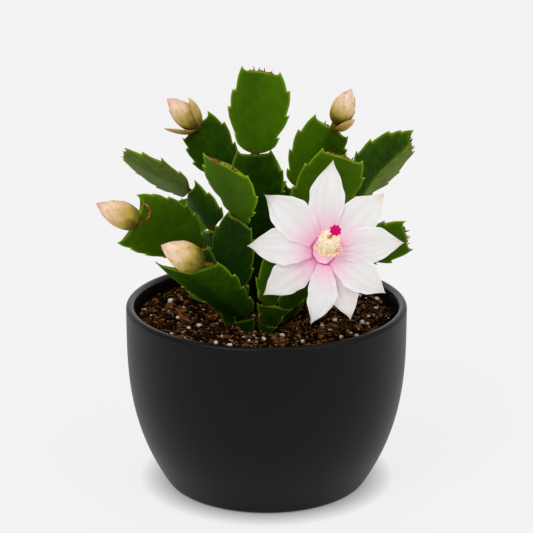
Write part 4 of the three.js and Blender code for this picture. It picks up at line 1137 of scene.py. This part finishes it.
def stamenPile():
    filaments, anthers, heart = Pile(), Pile(), Pile()
    draw = random.Random(12)
    middle = np.array(stamen["centre"])
    rings = []  # the filaments stand so close that they make one mass in the middle
    angles = anglesOf(30)
    for level, radius in throughPoints(stamen["core"], 22):
        centre = bezier(*styleLine, max(0, styleShare(level)))[:2]
        centre += (middle - centre) * np.clip(level / 8, 0, 1)
        ragged = radius * (1 + 0.16 * np.cos(angles * 7 + level) + 0.1 * np.cos(angles * 13 - level * 2))
        rings.append(levelRing(ragged, angles, level) + (*centre, 0))
    filaments.add(*tubeBody(rings))

    def addStamen(angle, out, height, long):
        t = np.linspace(0, 1, stamen["samples"])
        line = bezier(*styleLine, t * styleShare(height))
        line[:, :2] += (middle - line[-1, :2]) * t[:, None] ** 2
        wide = 1.1 + (out - 1.1) * t ** 2.2
        line = line + np.stack([wide * math.cos(angle), wide * math.sin(angle), 0 * t], -1)
        if math.dist(line[-1, :2], stamen["hole"]) < stamen["holeRadius"]:
            return
        radii = np.linspace(1.2, 0.8, stamen["samples"]) * stamen["radius"]
        filaments.add(*tubeBody(ringsAlong(line, radii, 6)))
        points, faces = pebble(stamen["anther"], draw, 0.22)
        stretch = np.array([long, 0.8, 0.8]) * draw.uniform(0.85, 1.15)
        turned = tumbled(draw, (angle - 0.7, angle + 0.7), 0.7)
        late = 0.8 if long == stamen["hangingStretch"] else draw.uniform(0, 0.3)
        anthers.add(settled(points * stretch, turned, line[-1]), faces, late=late)

    for i in range(stamen["count"]):
        fall = (stamen["lowest"] - stamen["highest"]) * (i / stamen["count"] + draw.random()) / 2
        out = stamen["spread"] * math.sqrt((i + 0.6) / stamen["count"])
        addStamen(i * goldenAngle, out, stamen["highest"] + fall, stamen["stretch"])
    for i in range(stamen["hanging"]):
        angle = -2.7 + 2.3 * (i + draw.uniform(0.2, 0.8)) / stamen["hanging"]
        out, height = draw.uniform(*stamen["hangingReach"]), draw.uniform(*stamen["hangingHeight"])
        addStamen(angle, out, height, stamen["hangingStretch"])
    # an orange-brown lump fills the gap left among the anthers: painted shade in that hollow
    points, faces = pebble(stamen["holeRadius"] * 1.2, draw, 0.1)
    heart.add(points + (*stamen["hole"], 8.4), faces)
    return filaments, anthers, heart


def makeAnther():
    # the anthers glow a little: painted light that lifts the shade in their mass
    material, paint, shader = newFinish("anther_cream", {
        "Roughness": 0.75, "Specular IOR Level": 0.08, "Emission Color": stamen["cream"],
        "Emission Strength": 0.12})
    late = share(paint, "late") + ramp(grain(paint, 1500, 3), [(0.4, 0.0), (0.7, 0.45)])
    paint.join(blendOf(paint, late, stamen["cream"], stamen["yellow"]), shader.inputs["Base Color"])
    return material


def stigmaPiles():
    lobes, middle = Pile(), Pile()
    draw = random.Random(3)
    for reach, size, rise, count in style["rings"]:
        pile = lobes if count > 1 else middle
        for at in range(count):
            angle = (at + 0.3) / count * 2 * math.pi
            lobe = ballPoints * size * draw.uniform(0.92, 1.08)
            points = settled(lobe * (1.1, 0.86, 0.8), Matrix.Rotation(angle, 3, "Z"), styleTip)
            points += np.array((math.cos(angle), math.sin(angle), 0)) * style["ring"] * reach + (0, 0, rise)
            pile.add(points, ballFaces)
    return lobes, middle


filaments, anthers, heart = stamenPile()
filamentFinish = makeSimple("filament_white", stamen["filament"], stamen["dim"], 0.5, glow=0.16)
setInFlower(filaments.build("flower_filaments", filamentFinish, "stamens", nodes=("flower_stamens",)))
setInFlower(anthers.build("flower_anthers", makeAnther(), "stamens"))
heartFinish = makeSimple("heart_orange", stamen["heart"], stamen["yellow"], 0.6)
setInFlower(heart.build("flower_heart", heartFinish, "stamens"))

line = bezier(*styleLine, np.linspace(0, 1, style["samples"]))
points, faces = tubeBody(ringsAlong(line, np.linspace(1, 0.8, style["samples"]) * style["radius"], 12))
styleFinish = makeSimple("style_pink", style["colour"], style["sheen"], 0.45)
setInFlower(buildPiece("flower_style", points, faces, styleFinish, {}, "stigma", nodes=("flower_pistil",)))
lobes, middle = stigmaPiles()
lobeFinish = makeSimple("stigma_magenta", style["stigma"], style["bright"], 0.5, glow=0.06)
setInFlower(lobes.build("flower_stigma", lobeFinish, "stigma"))
middleFinish = makeSimple("stigma_dark", style["middle"], style["stigma"], 0.5)
setInFlower(middle.build("flower_stigma_middle", middleFinish, "stigma"))
print("flower: stamens and stigma")


# Pot

pot = {
    "radius": 70, "height": 93, "wall": 4.2, "floor": 6, "flare": 20, "bellyTop": 81, "bellyPower": 2.7,
    "sides": 160, "foot": 2.6, "lipSamples": 15, "dark": rgb(11, 11, 11), "light": rgb(17, 17, 17),
}


def bellyRadius(z):
    return pot["radius"] - pot["flare"] * max(0, 1 - z / pot["bellyTop"]) ** pot["bellyPower"]


def potMesh():
    lip = pot["wall"] / 2
    rimHeight = pot["height"] - lip
    outside = [(bellyRadius(z), z) for z in np.linspace(pot["foot"], rimHeight, 40)]
    base = bellyRadius(0)
    rounding = (base - 2, 0), (base - 0.5, 0), (base + 0.6, 0.8), outside[0]
    edge = [bezier(*rounding, f).tolist() for f in np.linspace(0, 0.93, 9)]
    turns = np.linspace(0.12, math.pi - 0.12, pot["lipSamples"])
    lipArc = [(pot["radius"] - lip + lip * math.cos(a), rimHeight + lip * math.sin(a)) for a in turns]
    inside = [(bellyRadius(z) - pot["wall"], z) for z in np.linspace(rimHeight, 10, 20)]
    corner = bellyRadius(8) - pot["wall"]
    floor = [(corner - 3, pot["floor"] + 0.4), (corner - 5, pot["floor"])]
    profile = edge + outside + lipArc + inside + floor
    # The lip is glossy from short of its crown inwards, and the gloss ends just below it.
    shine = [0] * len(edge + outside) + np.clip(np.linspace(-0.7, 2.2, pot["lipSamples"]), 0, 1).tolist()
    shine += [1, 0.5] + [0] * (len(profile) - len(shine) - 2)
    angles = anglesOf(pot["sides"])
    points, faces = tubeBody([levelRing(radius, angles, z) for radius, z in profile])
    return points, faces, {"lip": np.concatenate([np.repeat(shine, pot["sides"]), [0, 0]])}


def makePotGlaze():
    material, paint, shader = newFinish("pot_satin", {"Specular IOR Level": 0.14, "Coat Roughness": 0.22})
    cloudy, fine = grain(paint, 25, 3), grain(paint, 1800, 2)
    colour = blendOf(paint, cloudy * 0.7 + (fine - 0.5) * 0.5, pot["dark"], pot["light"])
    paint.join(colour, shader.inputs["Base Color"])
    paint.join((fine - 0.5) * 0.1 + cloudy * 0.08 + 0.38, shader.inputs["Roughness"])
    paint.join(share(paint, "lip") * 0.55, shader.inputs["Coat Weight"])
    paint.join(relief(paint, fine * 0.6 + grain(paint, 500) * 0.4, 0.25, 0.2), shader.inputs["Normal"])
    return material


points, faces, shares = potMesh()
buildPiece("pot_body", points, faces, makePotGlaze(), shares, "pot_body", nodes=("pot",))
print("pot")


# Soil

soil = {
    "level": 85.8, "lump": 1, "clearance": 0.05, "rings": 100, "sides": 280, "gather": 0.85,
    "below": (9.5, 14, 20, 27, 34, 42, 50, 60, 69, 77, 83), "chips": 5200, "clumps": 520, "fibres": 1300,
    "stops": [(0.0, rgb(3, 1, 0)), (0.3, rgb(22, 11, 2)), (0.52, rgb(66, 38, 13)), (0.76, rgb(118, 74, 34)),
              (1.0, rgb(172, 124, 76))],
}
pebbles = {
    "soil_perlite": dict(count=160, sizes=(0.42, 1.7), light=rgb(240, 234, 222), dark=rgb(190, 176, 156)),
    "soil_stones": dict(count=150, sizes=(0.4, 1.2), light=rgb(176, 142, 108), dark=rgb(112, 84, 60)),
}


def soilHeight(x, y):
    coarse = math.sin(x * 0.31 + 1.3) * math.sin(y * 0.27 + 0.4) + 0.6 * math.sin(x * 0.13 - y * 0.17)
    fine = math.sin(x * 0.83 + y * 0.59) * math.sin(y * 0.91 - x * 0.37)
    return soil["level"] + soil["lump"] * (0.45 * coarse + 0.4 * fine)


def crumbly(x, y):
    spot = Vector((x * 0.35, y * 0.35, 0))
    lumps = soilHeight(x, y) + 1.1 * noise.noise(spot) + 0.8 * noise.noise(spot * 2.7)
    return lumps + 0.45 * noise.noise(spot * 6.3)


def makeSoil():
    material, paint, shader = newFinish("soil_crumbs", {"Roughness": 0.95, "Specular IOR Level": 0.05})
    speck, coarse = grain(paint, 1500, 4), grain(paint, 420, 3)
    tone = share(paint, "shade") + (speck - 0.5) * 0.9 + (coarse - 0.5) * 0.6
    paint.join(ramp(tone, soil["stops"]), shader.inputs["Base Color"])
    paint.join(relief(paint, speck + coarse, 0.7, 0.7), shader.inputs["Normal"])
    return material


def makeStone(name, light, dark):
    material, paint, shader = newFinish(name, {"Roughness": 0.85, "Specular IOR Level": 0.15})
    speck = grain(paint, 1300, 4)
    colour = blendOf(paint, ramp(speck, [(0.35, 0.0), (0.7, 1.0)]), light, dark)
    paint.join(colour, shader.inputs["Base Color"])
    paint.join(relief(paint, speck, 0.5, 0.5), shader.inputs["Normal"])
    return material


def crumb(size, draw):  # a ragged clump of peat: a ball pushed in and out by noise
    shift = Vector([draw.uniform(0, 90) for _ in range(3)])
    grow = []
    for point in ballPoints:
        coarse, fine = (noise.noise(Vector(point) * scale + shift) for scale in (1.7, 4.3))
        grow.append([0.75 + 0.55 * coarse + 0.35 * fine])
    flat = draw.uniform(0.5, 0.9)
    return ballPoints * np.array(grow) * size * (1, draw.uniform(0.7, 1.3), flat), ballFaces


def soilBody():
    def inside(z):
        return bellyRadius(z) - pot["wall"] - soil["clearance"]

    angles = anglesOf(soil["sides"])
    rings = [levelRing(inside(9) - 4, angles, pot["floor"] + 0.4)]
    rings += [levelRing(inside(z), angles, z) for z in soil["below"]]
    for i in range(soil["rings"]):
        radius = inside(soil["level"]) * (1 - i / soil["rings"]) ** soil["gather"]
        ring = levelRing(radius, angles, 0)
        ring[:, 2] = [crumbly(x, y) for x, y in ring[:, :2]]
        rings.append(ring)
    return tubeBody(rings)


def soilPieces():
    finish = makeSoil()
    ground = Pile()
    # the bed under the crumbs takes the darkest tone: partly peat of its own and partly painted shade in the
    # gaps between crumbs
    ground.add(*soilBody(), shade=0.14)
    ground.build("soil_bed", finish, "growing_mix", nodes=("soil",))
    draw = random.Random(21)
    reach = bellyRadius(soil["level"]) - pot["wall"] - 1.6

    def spotAt(size):
        radius, angle = (reach - size) * math.sqrt(draw.random()), draw.uniform(0, 2 * math.pi)
        x, y = radius * math.cos(angle), radius * math.sin(angle)
        return x, y, crumbly(x, y)

    chips = Pile()
    for _ in range(soil["chips"]):
        size = 0.28 + 1.0 * draw.random() ** 3
        x, y, z = spotAt(size)
        points, faces = pebble(size, draw, 0.55, draw.uniform(0.35, 0.9))
        points = points * (draw.uniform(0.6, 1.9), draw.uniform(0.6, 1.1), 1)
        points = settled(points, tumbled(draw, anyTurn, 0.7), (x, y, z + size * draw.uniform(-0.3, 0.5)))
        chips.add(points, faces, shade=0.1 + 0.8 * draw.random() ** 1.4)
    chips.build("soil_chips", finish, "growing_mix", smooth=False)
    clumps = Pile()
    for _ in range(soil["clumps"]):
        size = 1.1 + 2.3 * draw.random() ** 1.6
        x, y, z = spotAt(size)
        points, faces = crumb(size, draw)
        points = points + (x, y, z + size * draw.uniform(-0.3, 0.25))
        clumps.add(points, faces, shade=draw.choice((0.12, 0.3, 0.45, 0.6, 0.75)))
    clumps.build("soil_clumps", finish, "growing_mix")
    fibres = Pile()
    for _ in range(soil["fibres"]):
        length = draw.uniform(1.5, 5)
        x, y, z = spotAt(length / 2)
        angle, lift = draw.uniform(*anyTurn), draw.uniform(-0.1, 0.35)
        along = np.array([math.cos(angle), math.sin(angle), lift]) * length / 2
        bow = np.array([draw.uniform(-0.5, 0.5), draw.uniform(-0.5, 0.5), draw.uniform(0.1, 0.6)])
        line = throughPoints([-along, bow, along], 6) + (x, y, z + 0.7)
        radii = np.array([0.5, 1, 1, 1, 0.8, 0.4]) * draw.uniform(0.1, 0.22)
        fibres.add(*tubeBody(ringsAlong(line, radii, 5)), shade=draw.uniform(0.35, 1))
    fibres.build("soil_fibres", finish, "growing_mix")
    for name, form in pebbles.items():
        stones = Pile()
        smallest, largest = form["sizes"]
        for _ in range(form["count"]):
            size = smallest + (largest - smallest) * draw.random() ** 1.8
            x, y, z = spotAt(size)
            points, faces = pebble(size, draw, 0.3, 0.8)
            stones.add(points + (x, y, z + size * draw.uniform(0.2, 0.6)), faces)
        stones.build(name, makeStone(name, form["light"], form["dark"]), "growing_mix")


soilPieces()
print("soil")


# Studio, in metres

studio = {
    "reach": 9, "depth": 1.6, "rise": 1.4, "bend": 0.5, "floor": rgb(96, 96, 96), "glow": 0.8,
    "contact": 0.0125, "shade": (0.12, 0.11, 0.11, 1), "paper": rgb(255, 254, 254),
    "sky": [(0.0, 0.2), (0.5, 0.4), (1.0, 0.85)],
}
lamps = {
    "key": dict(power=15, size=(0.9, 0.9), spot=(-0.9, -1.2, 1.6), target=(0, 0, 0.12)),
    "fill": dict(power=7, size=(0.9, 1.2), spot=(1.3, -1.0, 1.0), target=(0, 0, 0.12)),
}
camera = {  # in millimetres
    "lens": 136.08, "sensor": 36, "spot": (0, -953.2, 413.6), "target": (0, 0, 111.2),
}


def aim(thing, spot, target):
    thing.rotation_mode = "QUATERNION"
    thing.rotation_quaternion = (Vector(target) - Vector(spot)).to_track_quat("-Z", "Y")
    bpy.context.scene.collection.objects.link(thing)


def areaLight(name, form):
    light = bpy.data.lights.new(name, "AREA")
    light.shape = "RECTANGLE"
    light.size, light.size_y = form["size"]
    light.energy = form["power"]
    lamp = bpy.data.objects.new(name, light)
    lamp.location = form["spot"]
    aim(lamp, form["spot"], form["target"])


def makeFloor():  # paper on the floor that bends up behind the plant
    reach, depth, bend = studio["reach"], studio["depth"], studio["bend"]
    profile = [(-reach, 0.0), (depth - bend, 0.0)]
    for angle in np.linspace(0.15, 1.57, 10):
        profile.append((depth - bend + bend * math.sin(angle), bend - bend * math.cos(angle)))
    profile.append((depth, studio["rise"]))
    points = [(x, y, z) for y, z in profile for x in (-reach, reach)]
    faces = [(2 * i, 2 * i + 1, 2 * i + 3, 2 * i + 2) for i in range(len(profile) - 1)]
    mesh = bpy.data.meshes.new("studio_floor")
    mesh.from_pydata(points, [], faces)
    mesh.polygons.foreach_set("use_smooth", [True] * len(mesh.polygons))
    material, paint, shader = newFinish("studio_paper", {
        "Base Color": studio["floor"], "Roughness": 0.95, "Specular IOR Level": 0.0,
        "Emission Strength": studio["glow"]})
    near = {"Distance": studio["contact"]}
    clear = paint.node("ShaderNodeAmbientOcclusion", {"samples": 12}, near, output="AO")
    colour = blendOf(paint, clear ** 0.85, studio["shade"], studio["paper"])
    paint.join(colour, shader.inputs["Emission Color"])
    mesh.materials.append(material)
    floor = bpy.data.objects.new("studio_floor", mesh)
    bpy.context.scene.collection.objects.link(floor)


makeFloor()
world = bpy.data.worlds.new("studio")
world.use_nodes = True
dome = Wire(world.node_tree)
around = dome.node("ShaderNodeTexCoord", output="Generated")
height = dome.node("ShaderNodeSeparateXYZ", {}, {"Vector": around}, output="Z")
dome.join(ramp(height, studio["sky"]), world.node_tree.nodes["Background"].inputs["Color"])
bpy.context.scene.world = world
for lampName, form in lamps.items():
    areaLight(lampName, form)
print("studio")

view = bpy.data.cameras.new("view")
view.lens, view.sensor_width = camera["lens"], camera["sensor"]
view.clip_start, view.clip_end = 0.05, 20
eye = bpy.data.objects.new("view", view)
eye.location = Vector(camera["spot"]) * millimetre
aim(eye, camera["spot"], camera["target"])
bpy.context.scene.camera = eye
bpy.context.scene.view_settings.view_transform = "Standard"
